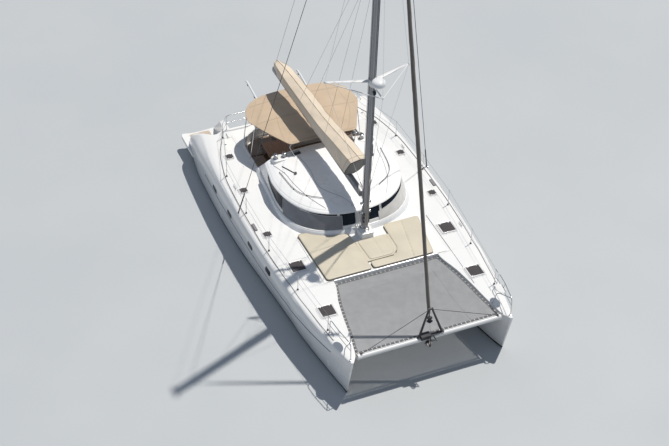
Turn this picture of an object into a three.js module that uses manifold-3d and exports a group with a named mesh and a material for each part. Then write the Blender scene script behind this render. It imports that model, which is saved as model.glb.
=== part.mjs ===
// Sailing catamaran, 14 m long, afloat with its sails stowed.
// Millimetres. +X to the bows, +Y to port, +Z up. The origin is amidships on the centreline, at the waterline.
import * as THREE from 'three';
import { mergeVertices } from 'three/addons/utils/BufferGeometryUtils.js';
import Module from 'manifold-3d';

const wasm = await Module();
wasm.setup();

// Driving dimensions
const deckZ = 1670;
const soleZ = 900;
const tunnelZ = 700;
const gap = 0.4;
const innerDeckY = 2200;
const cockpitAftX = -5050;
const bridgedeckAftX = -5450;
const bridgedeckFrontX = 3395;
const mastX = 1610;
const mastTopZ = 20600;
const houndsZ = 18600;
const crossbeamX = 6745;
const crossbeamZ = 1560;
const roofEaveZ = 2430;
const roofCrownZ = 2740;
const wallThickness = 60;
const sides = [{ name: 'starboard', sign: -1 }, { name: 'port', sign: 1 }];

const finish = (color, roughness, metalness = 0) => new THREE.MeshStandardMaterial({ color, roughness, metalness });
const gelcoat = finish(0xf2f1ec, 0.35);
const antifouling = finish(0x20242a, 0.8);
const glass = finish(0x14171c, 0.1);
const fabric = finish(0xd2bd9c, 0.9);
const coverFabric = finish(0xb9b7b0, 0.9);
const cushion = finish(0xdacfb4, 0.85);
const steel = finish(0xc9ccce, 0.25, 1);
const spar = finish(0x6c675f, 0.5, 0.6);
const mesh = finish(0x8f8f90, 0.95);
const teak = finish(0xb08a5e, 0.7);
const darkPlastic = finish(0x26262a, 0.5);
const bronze = finish(0x9a7b4a, 0.35, 1);

const craft = new THREE.Group();

// Booleans and general shapes

function solidOf(geometry) {
  const bare = geometry.clone();
  bare.deleteAttribute('normal');
  bare.deleteAttribute('uv');
  const merged = mergeVertices(bare, 0.01);
  const triVerts = new Uint32Array(merged.index.array);
  const vertProperties = new Float32Array(merged.attributes.position.array);
  return new wasm.Manifold(new wasm.Mesh({ numProp: 3, vertProperties, triVerts }));
}

function geometryOf(solid) {
  const { vertProperties, triVerts } = solid.getMesh();
  const geometry = new THREE.BufferGeometry();
  geometry.setAttribute('position', new THREE.BufferAttribute(new Float32Array(vertProperties), 3));
  geometry.setIndex(new THREE.BufferAttribute(new Uint32Array(triVerts), 1));
  geometry.computeVertexNormals();
  return geometry;
}

function joined(...shapes) {
  return geometryOf(shapes.flat().map(solidOf).reduce((all, next) => all.add(next)));
}

function cutFrom(shape, ...cutters) {
  return geometryOf(cutters.flat().map(solidOf).reduce((rest, next) => rest.subtract(next), solidOf(shape)));
}

function common(a, b) {
  return geometryOf(solidOf(a).intersect(solidOf(b)));
}

function add(name, geometry, material, parent = craft) {
  const piece = new THREE.Mesh(geometry, material);
  piece.name = name;
  parent.add(piece);
  return piece;
}

function box(x0, x1, y0, y1, z0, z1) {
  const geometry = new THREE.BoxGeometry(x1 - x0, Math.abs(y1 - y0), z1 - z0);
  return geometry.translate((x0 + x1) / 2, (y0 + y1) / 2, (z0 + z1) / 2);
}

// An upright prism over an outline of [x, y] points.
function prism(outline, z0, z1) {
  const shape = new THREE.Shape(outline.map(([x, y]) => new THREE.Vector2(x, y)));
  return new THREE.ExtrudeGeometry(shape, { depth: z1 - z0, bevelEnabled: false }).translate(0, 0, z0);
}

// A round bar between two points.
function rod(from, to, radius, faces = 8, radiusTo = radius) {
  const a = new THREE.Vector3(...from);
  const b = new THREE.Vector3(...to);
  const along = b.clone().sub(a);
  const geometry = new THREE.CylinderGeometry(radiusTo, radius, along.length(), faces);
  const turn = new THREE.Quaternion().setFromUnitVectors(new THREE.Vector3(0, 1, 0), along.clone().normalize());
  return geometry.applyQuaternion(turn).translate(...a.add(b).multiplyScalar(0.5).toArray());
}

// A bent tube with mitred corners: one ring of points at each corner, carried along without twist.
function rail(points, radius, faces = 8) {
  const corners = points.map((p) => new THREE.Vector3(...p));
  const steps = corners.slice(1).map((p, i) => p.clone().sub(corners[i]).normalize());
  const across = new THREE.Vector3(0, 0, 1);
  if (Math.abs(steps[0].dot(across)) > 0.9) across.set(1, 0, 0);
  const rings = corners.map((corner, i) => {
    const before = steps[Math.max(0, i - 1)];
    const after = steps[Math.min(i, steps.length - 1)];
    const along = before.clone().add(after).normalize();
    if (i > 0) across.applyQuaternion(new THREE.Quaternion().setFromUnitVectors(steps[Math.max(0, i - 2)], before));
    across.addScaledVector(before, -across.dot(before)).normalize();
    const up = before.clone().cross(across);
    return Array.from({ length: faces }, (_, k) => (k / faces) * 2 * Math.PI).map((angle) => {
      const offset = across.clone().multiplyScalar(Math.cos(angle) * radius).addScaledVector(up, Math.sin(angle) * radius);
      offset.addScaledVector(before, -offset.dot(along) / before.dot(along));
      return corner.clone().add(offset).toArray();
    });
  });
  return [loft(rings)];
}

// A closed body through rings of equal point counts, each ring a list of [x, y, z].
function loft(rings) {
  const count = rings[0].length;
  const positions = rings.flat(2);
  const index = [];
  for (let r = 0; r < rings.length - 1; r++) {
    for (let i = 0; i < count; i++) {
      const a = r * count + i;
      const b = r * count + (i + 1) % count;
      index.push(a, b, b + count, a, b + count, a + count);
    }
  }
  for (const [first, flip] of [[0, true], [(rings.length - 1) * count, false]]) {
    const ring = rings[first / count];
    for (const [a, b, c] of capOf(ring)) {
      index.push(first + a, first + (flip ? c : b), first + (flip ? b : c));
    }
  }
  const geometry = new THREE.BufferGeometry();
  geometry.setAttribute('position', new THREE.Float32BufferAttribute(positions, 3));
  geometry.setIndex(index);
  return volumeOf(geometry) < 0 ? flipped(geometry) : geometry;
}

// The triangles that close a ring, wound as the ring runs, found in the plane where it is largest.
function capOf(ring) {
  const views = [[1, 2], [2, 0], [0, 1]].map(([u, v]) => ring.map((p) => new THREE.Vector2(p[u], p[v])));
  const areas = views.map((view) => THREE.ShapeUtils.area(view));
  const best = areas.reduce((top, area, i) => (Math.abs(area) > Math.abs(areas[top]) ? i : top), 0);
  const cap = THREE.ShapeUtils.triangulateShape(views[best], []);
  return areas[best] < 0 ? cap.map(([i, j, k]) => [i, k, j]) : cap;
}

function volumeOf(geometry) {
  const p = geometry.attributes.position;
  const index = geometry.index.array;
  let sum = 0;
  const [a, b, c] = [new THREE.Vector3(), new THREE.Vector3(), new THREE.Vector3()];
  for (let i = 0; i < index.length; i += 3) {
    a.fromBufferAttribute(p, index[i]);
    b.fromBufferAttribute(p, index[i + 1]);
    c.fromBufferAttribute(p, index[i + 2]);
    sum += a.dot(b.cross(c)) / 6;
  }
  return sum;
}

function flipped(geometry) {
  const index = geometry.index.array;
  for (let i = 0; i < index.length; i += 3) [index[i + 1], index[i + 2]] = [index[i + 2], index[i + 1]];
  return geometry;
}

// The same piece on the other side of the centreline.
function onSide(geometry, sign) {
  const copy = geometry.clone();
  if (sign > 0) return copy;
  copy.scale(1, -1, 1);
  if (!copy.index) copy.setIndex([...Array(copy.attributes.position.count).keys()]);
  return flipped(copy);
}

const mix = (a, b, t) => a + (b - a) * t;

// Hulls

// The port hull's sections: x, keel z, waterline y outside and inside, widest y and z, deck edge y and z,
// inner deck edge y and z, and the z where the inner side starts.
const hullTable = [
  [-7000, -20, 3200, 2620, 3370, 540, 3330, 610, innerDeckY, 620, 420],
  [-6450, -150, 3280, 2530, 3420, 580, 3380, 660, innerDeckY, 1250, 500],
  [-6100, -230, 3360, 2480, 3480, 1050, 3330, 1230, innerDeckY, 1600, 600],
  [-5500, -350, 3450, 2430, 3530, 1100, 2500, deckZ, innerDeckY, deckZ, tunnelZ],
  [-5000, -430, 3500, 2390, 3560, 1120, 2660, deckZ, innerDeckY, deckZ, tunnelZ],
  [-4180, -520, 3530, 2350, 3590, 1150, 3030, deckZ, innerDeckY, deckZ, tunnelZ],
  [-3500, -580, 3550, 2330, 3610, 1170, 3200, deckZ, innerDeckY, deckZ, tunnelZ],
  [-2500, -640, 3560, 2300, 3630, 1200, 3350, deckZ, innerDeckY, deckZ, tunnelZ],
  [-800, -700, 3510, 2270, 3630, 1230, 3400, deckZ, innerDeckY, deckZ, tunnelZ],
  [700, -730, 3390, 2250, 3600, 1250, 3400, deckZ, innerDeckY, deckZ, tunnelZ],
  [2000, -730, 3270, 2240, 3545, 1260, 3345, deckZ, innerDeckY, deckZ, tunnelZ],
  [2750, -715, 3215, 2240, 3500, 1260, 3300, deckZ, innerDeckY, deckZ, tunnelZ],
  [3400, -690, 3170, 2250, 3450, 1270, 3245, deckZ, innerDeckY, deckZ, tunnelZ],
  [3404, -690, 3170, 2250, 3450, 1270, 3245, deckZ, 1870, deckZ, 1380],
  [4400, -620, 3080, 2290, 3340, 1290, 3150, deckZ, 2120, deckZ, 1380],
  [5200, -520, 2980, 2370, 3220, 1310, 3060, deckZ, 2270, deckZ, 1380],
  [5900, -400, 2900, 2480, 3090, 1330, 2955, deckZ - 10, 2380, deckZ - 10, 1380],
  [6400, -280, 2840, 2580, 2980, 1360, 2880, deckZ - 20, 2480, deckZ - 20, 1390],
  [6745, -160, 2790, 2660, 2900, 1400, 2835, deckZ - 40, 2560, deckZ - 40, 1400],
  [7000, -100, 2770, 2735, 2800, 1450, 2785, deckZ - 60, 2730, deckZ - 60, 1420],
];
const stemRake = 350;
const rakeStartX = 5000;

const rakedX = (x, z) => x - Math.max(0, (x - rakeStartX) / (7000 - rakeStartX)) * stemRake * (deckZ - z) / deckZ;

function hullSection([x, keelZ, outerY, innerY, widestY, widestZ, edgeY, edgeZ, deckY, innerZ, chineZ]) {
  const keelY = (outerY + innerY) / 2;
  const half = (outerY - innerY) / 2;
  const bilge = (sign) => [[keelY + sign * half * 0.85, keelZ * 0.55], [keelY + sign * half * 0.5, keelZ * 0.9]];
  const points = [
    [keelY, keelZ], ...bilge(1).reverse(), [outerY, 0],
    [mix(outerY, widestY, 0.75), widestZ * 0.6], [widestY, widestZ],
    [mix(widestY, edgeY, 0.08), mix(widestZ, edgeZ, 0.45)], [mix(widestY, edgeY, 0.28), mix(widestZ, edgeZ, 0.82)],
    [edgeY, edgeZ], [mix(edgeY, deckY, 0.5), mix(edgeZ, innerZ, 0.5) + 15], [deckY, innerZ],
    [deckY, chineZ], [mix(deckY, innerY, 0.6), chineZ * 0.6], [innerY, 0], ...bilge(-1),
  ];
  return points.map(([y, z]) => [rakedX(x, z), y, z]);
}

// A foil with its thickness along Y, from upper to lower chord: each [z, leading x, trailing x, half thickness].
function foil(levels, y) {
  const shape = [[0, 0], [0.06, 0.7], [0.3, 1], [0.65, 0.62], [1, 0.06]];
  const outline = [...shape, ...shape.slice(1).reverse().map(([t, w]) => [t, -w])];
  return loft(levels.map(([z, front, back, half]) => outline.map(([t, w]) => [mix(front, back, t), y + w * half, z])));
}

// The scoop aft of the deck: its curved front wall in plan, and the treads that step down to the platform.
const scoopWall = [[-6100, 3700], [-6000, 3430], [-5760, 3240], [-5480, 3040], [-5320, 2800], [-5400, 2560],
  [-5800, 2380], [-6500, 2290], [-7300, 2260], [-7300, 3700]];
const platformZ = 600;
const treads = [{ z: platformZ, shift: -560 }, { z: 960, shift: -280 }, { z: 1310, shift: 0 }];
const scoop = treads.map(({ z, shift }) => prism(scoopWall.map(([x, y]) => [x > -7300 ? x + shift * (y > 2400 ? 1 : 0) : x, y]), z, 2500));
const platformFlange = prism([[-5750, 3400], [-7060, 3400], [-7080, 3470], [-7020, 3520], [-5750, 3530]], 500, platformZ);
const platformSill = prism([[-6900, 2160], [-7050, 2200], [-7000, 2800], [-7010, 3200], [-7080, 3400], [-6900, 3480]], 480, platformZ);

// Deck hatches: x, y, and the width of the square lid.
const hatchTable = [
  { x: -3880, y: 2780, size: 300 }, { x: -1940, y: 2980, size: 300 }, { x: 500, y: 3050, size: 300 },
  { x: 2340, y: 2720, size: 560 }, { x: 4630, y: 2620, size: 560 },
];
const hatchRim = 35;
const hatchTopZ = deckZ + 45;

function roundedSquare(cx, cy, size, corner) {
  const half = size / 2;
  const points = [];
  for (const [sx, sy, start] of [[1, 1, 0], [-1, 1, 1], [-1, -1, 2], [1, -1, 3]]) {
    for (let i = 0; i <= 3; i++) {
      const angle = (start + i / 3) * Math.PI / 2;
      points.push([cx + sx * (half - corner) + corner * Math.cos(angle), cy + sy * (half - corner) + corner * Math.sin(angle)]);
    }
  }
  return points;
}

const engineBay = { x0: -5050, x1: -4150, y0: 2480, y1: 3200, floorZ: -150, roofZ: 1250 };
const engineHatch = { x0: -4950, x1: -4250, y0: 2290, y1: 2720 };
const driveX = -4650;
const driveY = 2880;
const propZ = -860;
const rudderX = -5650;
const rudderY = 2890;
const chainplate = [-940, 3560, 1640];
const keelLevels = [[-600, 1000, -1250, 130], [-1000, 850, -1150, 110], [-1290, 650, -1050, 80]];

function portHull() {
  const body = loft(hullTable.map(hullSection));
  const keel = foil(keelLevels, 2880);
  const rims = hatchTable.map(({ x, y, size }) => prism(roundedSquare(x, y, size + 2 * hatchRim, 70), deckZ - 40, deckZ + 18));
  const beamSocket = box(crossbeamX - 110, crossbeamX + 110, 2500, 2640, crossbeamZ - 110, crossbeamZ + 60);
  const plate = box(chainplate[0] - 60, chainplate[0] + 60, 3480, 3570, 1480, 1640);
  const wells = hatchTable.map(({ x, y, size }) => prism(roundedSquare(x, y, size - 50, 50), deckZ - 260, deckZ + 100));
  const bay = engineBay;
  const hatch = engineHatch;
  const cutters = [
    ...scoop, ...wells,
    box(bay.x0, bay.x1, bay.y0, bay.y1, bay.floorZ, bay.roofZ),
    box(hatch.x0 + 40, hatch.x1 - 40, hatch.y0 + 40, hatch.y1 - 40, bay.roofZ - 100, deckZ + 100),
    box(hatch.x0, hatch.x1, hatch.y0, hatch.y1, deckZ - 30, deckZ + 100),
    rod([driveX, driveY, -700], [driveX, driveY, 0], 125, 16),
    rod([rudderX, rudderY, -600], [rudderX, rudderY, 100], 36, 12),
  ];
  const scooped = cutFrom(body, ...cutters);
  return joined(scooped, keel, platformFlange, platformSill, rims.map((rim, i) => cutFrom(rim, wells[i])), beamSocket, plate);
}

const hull = portHull();
for (const { name, sign } of sides) add(`hull_${name}`, onSide(hull, sign), gelcoat);

// Bridgedeck with the saloon and cockpit wells

const cockpitY = 2050;
const bulkheadX = -2120;
function cockpitOutline(inset = 0) {
  const y = cockpitY - inset;
  const aft = cockpitAftX + inset;
  const radius = 950 - inset;
  const half = [[bulkheadX + 10, y]];
  for (let i = 0; i <= 6; i++) {
    const angle = (i / 6) * Math.PI / 2;
    half.push([aft + radius - radius * Math.sin(angle), y - radius + radius * Math.cos(angle)]);
  }
  return [...half, ...half.slice().reverse().map(([px, py]) => [px, -py])];
}

// The cabin's outline at a height: the sides, then a superellipse round the front.
const wallBase = { z: deckZ, front: 1450, half: 2310, middle: -600, aft: -2950, aftHalf: 2110 };
const wallTop = { z: roofEaveZ, front: 1180, half: 2160, middle: -1000, aft: -2250, aftHalf: 2040 };

function superellipse(middle, front, half, power, steps) {
  const points = [];
  for (let i = 0; i <= steps; i++) {
    const angle = Math.PI / 2 - (i / steps) * Math.PI;
    const bend = (v) => Math.sign(v) * Math.abs(v) ** (2 / power);
    points.push([middle + (front - middle) * bend(Math.cos(angle)), half * bend(Math.sin(angle))]);
  }
  return points;
}

function wallRing(z, offset, aftExtra = 0) {
  const t = (z - wallBase.z) / (wallTop.z - wallBase.z);
  const at = (key) => mix(wallBase[key], wallTop[key], t);
  const arc = superellipse(at('middle'), at('front') + offset, at('half') + offset, 2.5, 16);
  const aft = at('aft') - aftExtra;
  const aftY = at('aftHalf') + offset;
  return [[aft, aftY], ...arc, [aft, -aftY]].map(([x, y]) => [x, y, z]);
}

const wallHalfAt = (x, z) => {
  const t = (z - wallBase.z) / (wallTop.z - wallBase.z);
  const at = (key) => mix(wallBase[key], wallTop[key], t);
  return mix(at('half'), at('aftHalf'), Math.max(0, (at('middle') - x) / (at('middle') - at('aft'))));
};

const mastStep = { x0: mastX - 290, x1: mastX + 290, half: 230, z: 1925 };
const foredeckZ = 1690;

function bridgedeck() {
  const profile = [[bridgedeckAftX, deckZ], [-5860, 1300], [-5820, 1220], [-5650, tunnelZ], [3150, tunnelZ],
    [bridgedeckFrontX, 950], [bridgedeckFrontX, foredeckZ], [1100, foredeckZ], [1100, deckZ]];
  const slab = prism(profile, -innerDeckY + gap, innerDeckY - gap).rotateX(Math.PI / 2);
  const saloon = wallRing(deckZ, -330).map(([x, y]) => [Math.max(x, -2400), y * 0.98]);
  return joined(
    cutFrom(slab, prism(cockpitOutline(), soleZ, 2500), prism(saloon, soleZ, 2500)),
    box(mastStep.x0, mastStep.x1, -mastStep.half, mastStep.half, foredeckZ - 20, mastStep.z),
  );
}

add('bridgedeck', bridgedeck(), gelcoat);

// Cabin: walls with their windows, roof, aft bulkhead and sliding door

const coamingZ = 1830;
function cabinShell(outer, inner) {
  const rings = (offset, z0, z1, aftExtra) => [wallRing(z0, offset, aftExtra), wallRing(z1, offset, aftExtra)];
  return cutFrom(loft(rings(outer, deckZ - 40, roofEaveZ, 0)), loft(rings(inner, deckZ - 100, roofEaveZ + 100, 400)));
}

// The window on the port side: the box that it is cut by. It runs from the side round to the front, beside the mast.
const windowPlace = { x: [-1900, 1600], y: [180, 2600], z: [1955, 2335] };
const windowBlock = (inset = 0) => box(...['x', 'y', 'z'].flatMap((axis) => [windowPlace[axis][0] + inset, windowPlace[axis][1] - inset]));

const cabinWall = () => {
  const coaming = cutFrom(
    loft([wallRing(deckZ - 40, 60), wallRing(coamingZ, 50), wallRing(coamingZ + 20, 0)]),
    loft([wallRing(deckZ - 200, -10, 300), wallRing(coamingZ + 200, -10, 300)]),
  );
  const shell = joined(cabinShell(0, -wallThickness), coaming);
  const openings = [windowBlock(), onSide(windowBlock(), -1)];
  const below = box(-4000, 1100, -3000, 3000, 1000, deckZ + 18);
  const belowForward = box(1090, 3000, -3000, 3000, 1000, foredeckZ + gap);
  const step = box(mastStep.x0 - gap, 3000, -mastStep.half - gap, mastStep.half + gap, 1000, mastStep.z + gap);
  return cutFrom(shell, ...openings, below, belowForward, step);
};
add('cabin_wall', cabinWall(), gelcoat);

const pane = common(cabinShell(-20, -35), windowBlock(gap));
for (const { name, sign } of sides) add(`window_${name}`, onSide(pane, sign), glass);

// Fabric covers over the forward windows, just proud of the wall.
const cover = { z0: 1860, z1: 2415, backX: -330, frontY: 770 };
for (const { name, sign } of sides) {
  const band = box(cover.backX, 1600, cover.frontY, 2500, cover.z0, cover.z1);
  add(`window_cover_${name}`, onSide(common(cabinShell(14, 4), band), sign), coverFabric);
}

// The roof: crowned across, falling to the front, its aft edge straight.
const roof = { aft: -2230, middle: -1200, front: 1260, half: 2250, aftHalf: 2110 };
const roofCrown = [[1, roofEaveZ - 28], [1, roofEaveZ + 12], [0.97, roofEaveZ + 70], [0.86, roofEaveZ + 165],
  [0.62, roofEaveZ + 255], [0.3, roofCrownZ]];
function roofRing(scale, z, inset = 0, aft = roof.aft) {
  const arc = superellipse(roof.middle, roof.front - inset, roof.half - inset, 2.3, 20);
  const outline = [[aft, roof.aftHalf - inset], ...arc, [aft, -roof.aftHalf + inset]];
  return outline.map(([x, y]) => [aft + (x - aft) * scale, y * scale, z]);
}
const roofShell = () => cutFrom(
  loft(roofCrown.map(([scale, z]) => roofRing(scale, z))),
  loft([[1, roofEaveZ - 60], ...roofCrown.slice(1).map(([scale, z]) => [scale, z - 45])].map(([k, z]) => roofRing(k, z, 160, -1950))),
);
add('cabin_roof', cutFrom(roofShell(), box(-3000, 3000, -3000, 3000, 2000, roofEaveZ + gap)), gelcoat);

const door = { y0: -430, y1: 430, z0: soleZ + 60, z1: 2330 };
const bulkhead = () => {
  const half = (z) => wallHalfAt(bulkheadX, z) - wallThickness - 12;
  const right = [[cockpitY - gap, soleZ + gap], [cockpitY - gap, deckZ + gap], [half(deckZ), deckZ + gap], [half(roofEaveZ), roofEaveZ - gap]];
  const outline = [...right, ...right.slice().reverse().map(([y, z]) => [-y, z])];
  const panel = prism(outline, 0, 50).rotateX(Math.PI / 2).rotateZ(Math.PI / 2).translate(bulkheadX - 50, 0, 0);
  const light = (y0, y1) => box(bulkheadX - 200, bulkheadX + 200, y0, y1, 1760, 2300);
  const track = (z0, z1) => box(bulkheadX - 92, bulkheadX - 49, 3 * door.y0 - 20, door.y1 + 10, z0, z1);
  const opening = box(bulkheadX - 60, bulkheadX + 200, door.y0 + 40, door.y1 - 40, door.z0, door.z1 - 30);
  return joined(cutFrom(panel, opening, light(-1560, -620)), track(door.z1 + 16, door.z1 + 50), track(soleZ + gap, door.z0 - 46));
};
add('aft_bulkhead', bulkhead(), gelcoat);
add('bulkhead_window', box(bulkheadX - 35, bulkheadX - 20, -1560 + gap, -620 - gap, 1760 + gap, 2300 - gap), glass);
add('saloon_door', cutFrom(
  box(bulkheadX - 85, bulkheadX - 57, door.y0, door.y1, door.z0 - 40, door.z1 + 10),
  box(bulkheadX - 200, bulkheadX, door.y0 + 90, door.y1 - 90, 1500, door.z1 - 90),
), gelcoat);

// Deck hatches and engine lids

for (const { name, sign } of sides) {
  hatchTable.forEach(({ x, y, size }, i) => {
    const lid = prism(roundedSquare(x, y, size, 60), deckZ + 24, hatchTopZ);
    add(`hatch_${i + 1}_${name}`, onSide(lid, sign), darkPlastic);
  });
  const { x0, x1, y0, y1 } = engineHatch;
  const lid = box(x0 + 6, x1 - 6, y0 + 6, y1 - 6, deckZ - 24, deckZ + 6);
  add(`engine_lid_${name}`, onSide(lid, sign), gelcoat);
}

// Engines, propellers and rudders

const engineBlock = { x0: -5000, x1: -4200, half: 270, topZ: 520 };
const driveLeg = { radius: 90, topZ: 60, podRadius: 85, podAftRadius: 60, podFrontX: driveX + 160 };
const propX = driveX - 260;
const shaft = { radius: 14, bore: 16.5, aftX: propX - 60 };
const hub = { halfLength: 48, radius: 46, aftRadius: 30 };
const propBlade = { thickness: 16, halfWidth: 62, halfHeight: 100, midRadius: 125, pitch: 0.35 };
const rudderStock = { radius: 32, z0: -520, z1: 40 };
const rudderLevels = [[-390, rudderX + 170, rudderX - 330, 45], [-800, rudderX + 150, rudderX - 300, 40],
  [-1150, rudderX + 110, rudderX - 210, 26]];

const engine = () => joined(
  box(engineBlock.x0, engineBlock.x1, driveY - engineBlock.half, driveY + engineBlock.half, engineBay.floorZ + gap, engineBlock.topZ),
  rod([driveX, driveY, driveLeg.topZ], [driveX, driveY, propZ - 40], driveLeg.radius, 12),
  rod([driveLeg.podFrontX, driveY, propZ], [propX + 70, driveY, propZ], driveLeg.podRadius, 12, driveLeg.podAftRadius),
  rod([propX + 90, driveY, propZ], [shaft.aftX, driveY, propZ], shaft.radius, 8),
);

const propeller = () => {
  const blades = [0, 120, 240].map((angle) => {
    const blade = new THREE.CylinderGeometry(1, 1, propBlade.thickness, 10).rotateZ(Math.PI / 2);
    blade.scale(1, propBlade.halfWidth, propBlade.halfHeight).rotateZ(propBlade.pitch).translate(0, 0, propBlade.midRadius);
    return blade.rotateX(THREE.MathUtils.degToRad(angle));
  });
  const boss = rod([hub.halfLength, 0, 0], [-hub.halfLength, 0, 0], hub.radius, 12, hub.aftRadius);
  return cutFrom(
    joined(boss, ...blades).translate(propX, driveY, propZ),
    rod([propX + 200, driveY, propZ], [shaft.aftX - 2, driveY, propZ], shaft.bore, 8),
  );
};

const rudder = () => joined(
  foil(rudderLevels, rudderY),
  rod([rudderX, rudderY, rudderStock.z0], [rudderX, rudderY, rudderStock.z1], rudderStock.radius, 12),
);

for (const { name, sign } of sides) {
  add(`engine_${name}`, onSide(engine(), sign), darkPlastic);
  add(`propeller_${name}`, onSide(propeller(), sign), bronze);
  add(`rudder_${name}`, onSide(rudder(), sign), antifouling);
}

// Cockpit: seat, table and helm

const seatTopZ = 1330;
const seatDepth = 554;
const seat = () => {
  const outer = prism(cockpitOutline(6), soleZ + gap, seatTopZ);
  const legRoom = prism(cockpitOutline(6 + seatDepth), soleZ - 50, seatTopZ + 200);
  const kept = [box(-5200, -2700, -2200, -500, 800, 1500), box(-5200, -3900, -600, 2200, 800, 1500)];
  return common(cutFrom(outer, legRoom), joined(...kept));
};
add('cockpit_seat', seat(), gelcoat);
const table = { x0: -4300, x1: -3000, y0: -1420, y1: -420, z: 1600, thickness: 40, legRadius: 60 };
const tableLeg = (z) => [(table.x0 + table.x1) / 2, (table.y0 + table.y1) / 2, z];
add('cockpit_table', joined(
  box(table.x0, table.x1, table.y0, table.y1, table.z - table.thickness, table.z),
  rod(tableLeg(soleZ + gap), tableLeg(table.z - table.thickness / 2), table.legRadius, 12),
), teak);

const helm = { x: -2900, y: 1660, z: 1900, radius: 360 };
const binnacle = { x0: -2780, x1: -2260, y0: 1280, y1: 1990, shelfZ: 1780 };
const binnacleTop = [[binnacle.x0, 1700], [binnacle.x1, 1700], [binnacle.x1, 1990], [-2600, 2010]];
const wheelAxle = { startX: -2600, radius: 22, bore: 24 };
add('helm_console', joined(
  box(binnacle.x0, binnacle.x1, binnacle.y0, binnacle.y1, soleZ + gap, binnacle.shelfZ),
  prism(binnacleTop, -binnacle.y1, -binnacle.y0).rotateX(Math.PI / 2),
  rod([wheelAxle.startX, helm.y, helm.z], [helm.x - 40, helm.y, helm.z], wheelAxle.radius, 10),
), gelcoat);
const wheel = () => {
  const rim = new THREE.TorusGeometry(helm.radius, 14, 6, 32);
  const spokes = [0, 60, 120].map((a) => rod([-helm.radius, 0, 0], [helm.radius, 0, 0], 9, 6).rotateZ(THREE.MathUtils.degToRad(a)));
  const boss = new THREE.CylinderGeometry(48, 48, 36, 12).rotateX(Math.PI / 2);
  const upright = joined(rim, boss, ...spokes).rotateY(Math.PI / 2).translate(helm.x, helm.y, helm.z);
  return cutFrom(upright, rod([wheelAxle.startX, helm.y, helm.z], [helm.x - 80, helm.y, helm.z], wheelAxle.bore, 10));
};
add('helm_wheel', wheel(), steel);
const helmSeat = { x0: -3860, x1: -3400, y0: 1330, y1: 1930, baseZ: 1430, topZ: 1500, backTopZ: 1800, backThickness: 70 };
add('helm_seat', joined(
  box(helmSeat.x0 + 60, helmSeat.x1, helmSeat.y0, helmSeat.y1, helmSeat.baseZ, helmSeat.topZ),
  box(helmSeat.x0, helmSeat.x0 + helmSeat.backThickness, helmSeat.y0, helmSeat.y1, helmSeat.baseZ, helmSeat.backTopZ),
  box(helmSeat.x0 + 160, helmSeat.x1 - 100, helmSeat.y0 + 170, helmSeat.y1 - 170, soleZ + gap, helmSeat.baseZ + 20),
), gelcoat);

// Bimini over the cockpit

const canopy = { front: -2000, frontHalf: 1230, aft: -5040, wideX: -3800, half: 2060, edgeZ: 3080, crownZ: 3225, thickness: 30 };
const canopyHalf = [[canopy.front, canopy.frontHalf], [-2900, 1650], [canopy.wideX, canopy.half], [-4250, 2010],
  [-4620, 1830], [-4880, 1500], [-5010, 1080], [canopy.aft, 400]];
const canopyZ = (y) => mix(canopy.crownZ, canopy.edgeZ, (y / canopy.half) ** 2);
const arch = (y0, y1, count, drop) => Array.from({ length: count + 1 }, (_, i) => mix(y0, y1, i / count)).map((y) => [y, canopyZ(y) - drop]);
const vault = () => {
  const top = arch(-2200, 2200, 22, 0);
  const bottom = arch(2200, -2200, 22, canopy.thickness);
  return prism([...top, ...bottom], -5200, -1900).rotateX(Math.PI / 2).rotateZ(Math.PI / 2);
};
const canopyPlan = [...canopyHalf, ...canopyHalf.slice().reverse().map(([x, y]) => [x, -y])];
const sheetOf = () => common(vault(), prism(canopyPlan, 2000, 4000));
add('bimini', sheetOf(), fabric);

const bowRadius = 16;
const biminiBows = [
  { x: -2060, half: 1200, footX: -1880, footY: 1110, footZ: 2718 },
  { x: -3550, half: 1900, footX: -3550, footY: 2110, footZ: deckZ + 4 },
  { x: -4560, half: 1800, footX: -4560, footY: 1990, footZ: deckZ + 4 },
];
const bowDrop = canopy.thickness + bowRadius + 6;
const biminiFrame = () => {
  const bows = biminiBows.map(({ x, half, footX, footY, footZ }) => {
    const top = arch(-half, half, 8, bowDrop).map(([y, z]) => [x, y, z]);
    return rail([[footX, -footY, footZ + gap], [x, -half - 50, canopyZ(half) - 130], ...top, [x, half + 50, canopyZ(half) - 130],
      [footX, footY, footZ + gap]], bowRadius, 6);
  });
  const ties = [-900, 900].map((y) => rod([biminiBows[0].x, y, canopyZ(y) - bowDrop], [biminiBows[2].x, y, canopyZ(y) - bowDrop], 12, 6));
  return joined(...bows.flat(), ...ties);
};
add('bimini_frame', biminiFrame(), steel);

// Foredeck pads, trampoline, crossbeam and striker

const padZ = [foredeckZ + 4, foredeckZ + 84];
const pads = {
  starboard: [[900, -2170], [3380, -2100], [3380, -490], [1770, -500], [1500, -560], [1230, -1000], [900, -1700]],
  port: [[1470, 720], [1480, 2050], [3380, 1750], [3380, -430], [3030, -430], [3030, 490], [2720, 680], [1700, 700]],
  centre: [[1960, -440], [2960, -400], [2960, 440], [2690, 620], [1960, 640]],
};
const cabinFoot = loft([wallRing(deckZ - 100, 80, 200), wallRing(deckZ + 400, 80, 200)]);
for (const [name, outline] of Object.entries(pads)) add(`sun_pad_${name}`, cutFrom(prism(outline, ...padZ), cabinFoot), cushion);

// The net's edge follows the inner sides of the hulls.
const netZ = [1500, 1516];
const netHalf = [[3440, 1850], [4400, 2100], [5200, 2250], [5900, 2360], [6400, 2460], [6640, 2490]];
const net = prism([...netHalf, ...netHalf.slice().reverse().map(([x, y]) => [x, -y])], ...netZ);
add('trampoline', net, mesh);

const beamHalf = 2500 - gap;
const beam = () => joined(
  rod([crossbeamX, -beamHalf, crossbeamZ], [crossbeamX, beamHalf, crossbeamZ], 85, 16),
  box(crossbeamX - 95, crossbeamX - 60, -beamHalf, beamHalf, 1500, 1530),
);
add('crossbeam', beam(), gelcoat);

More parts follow.
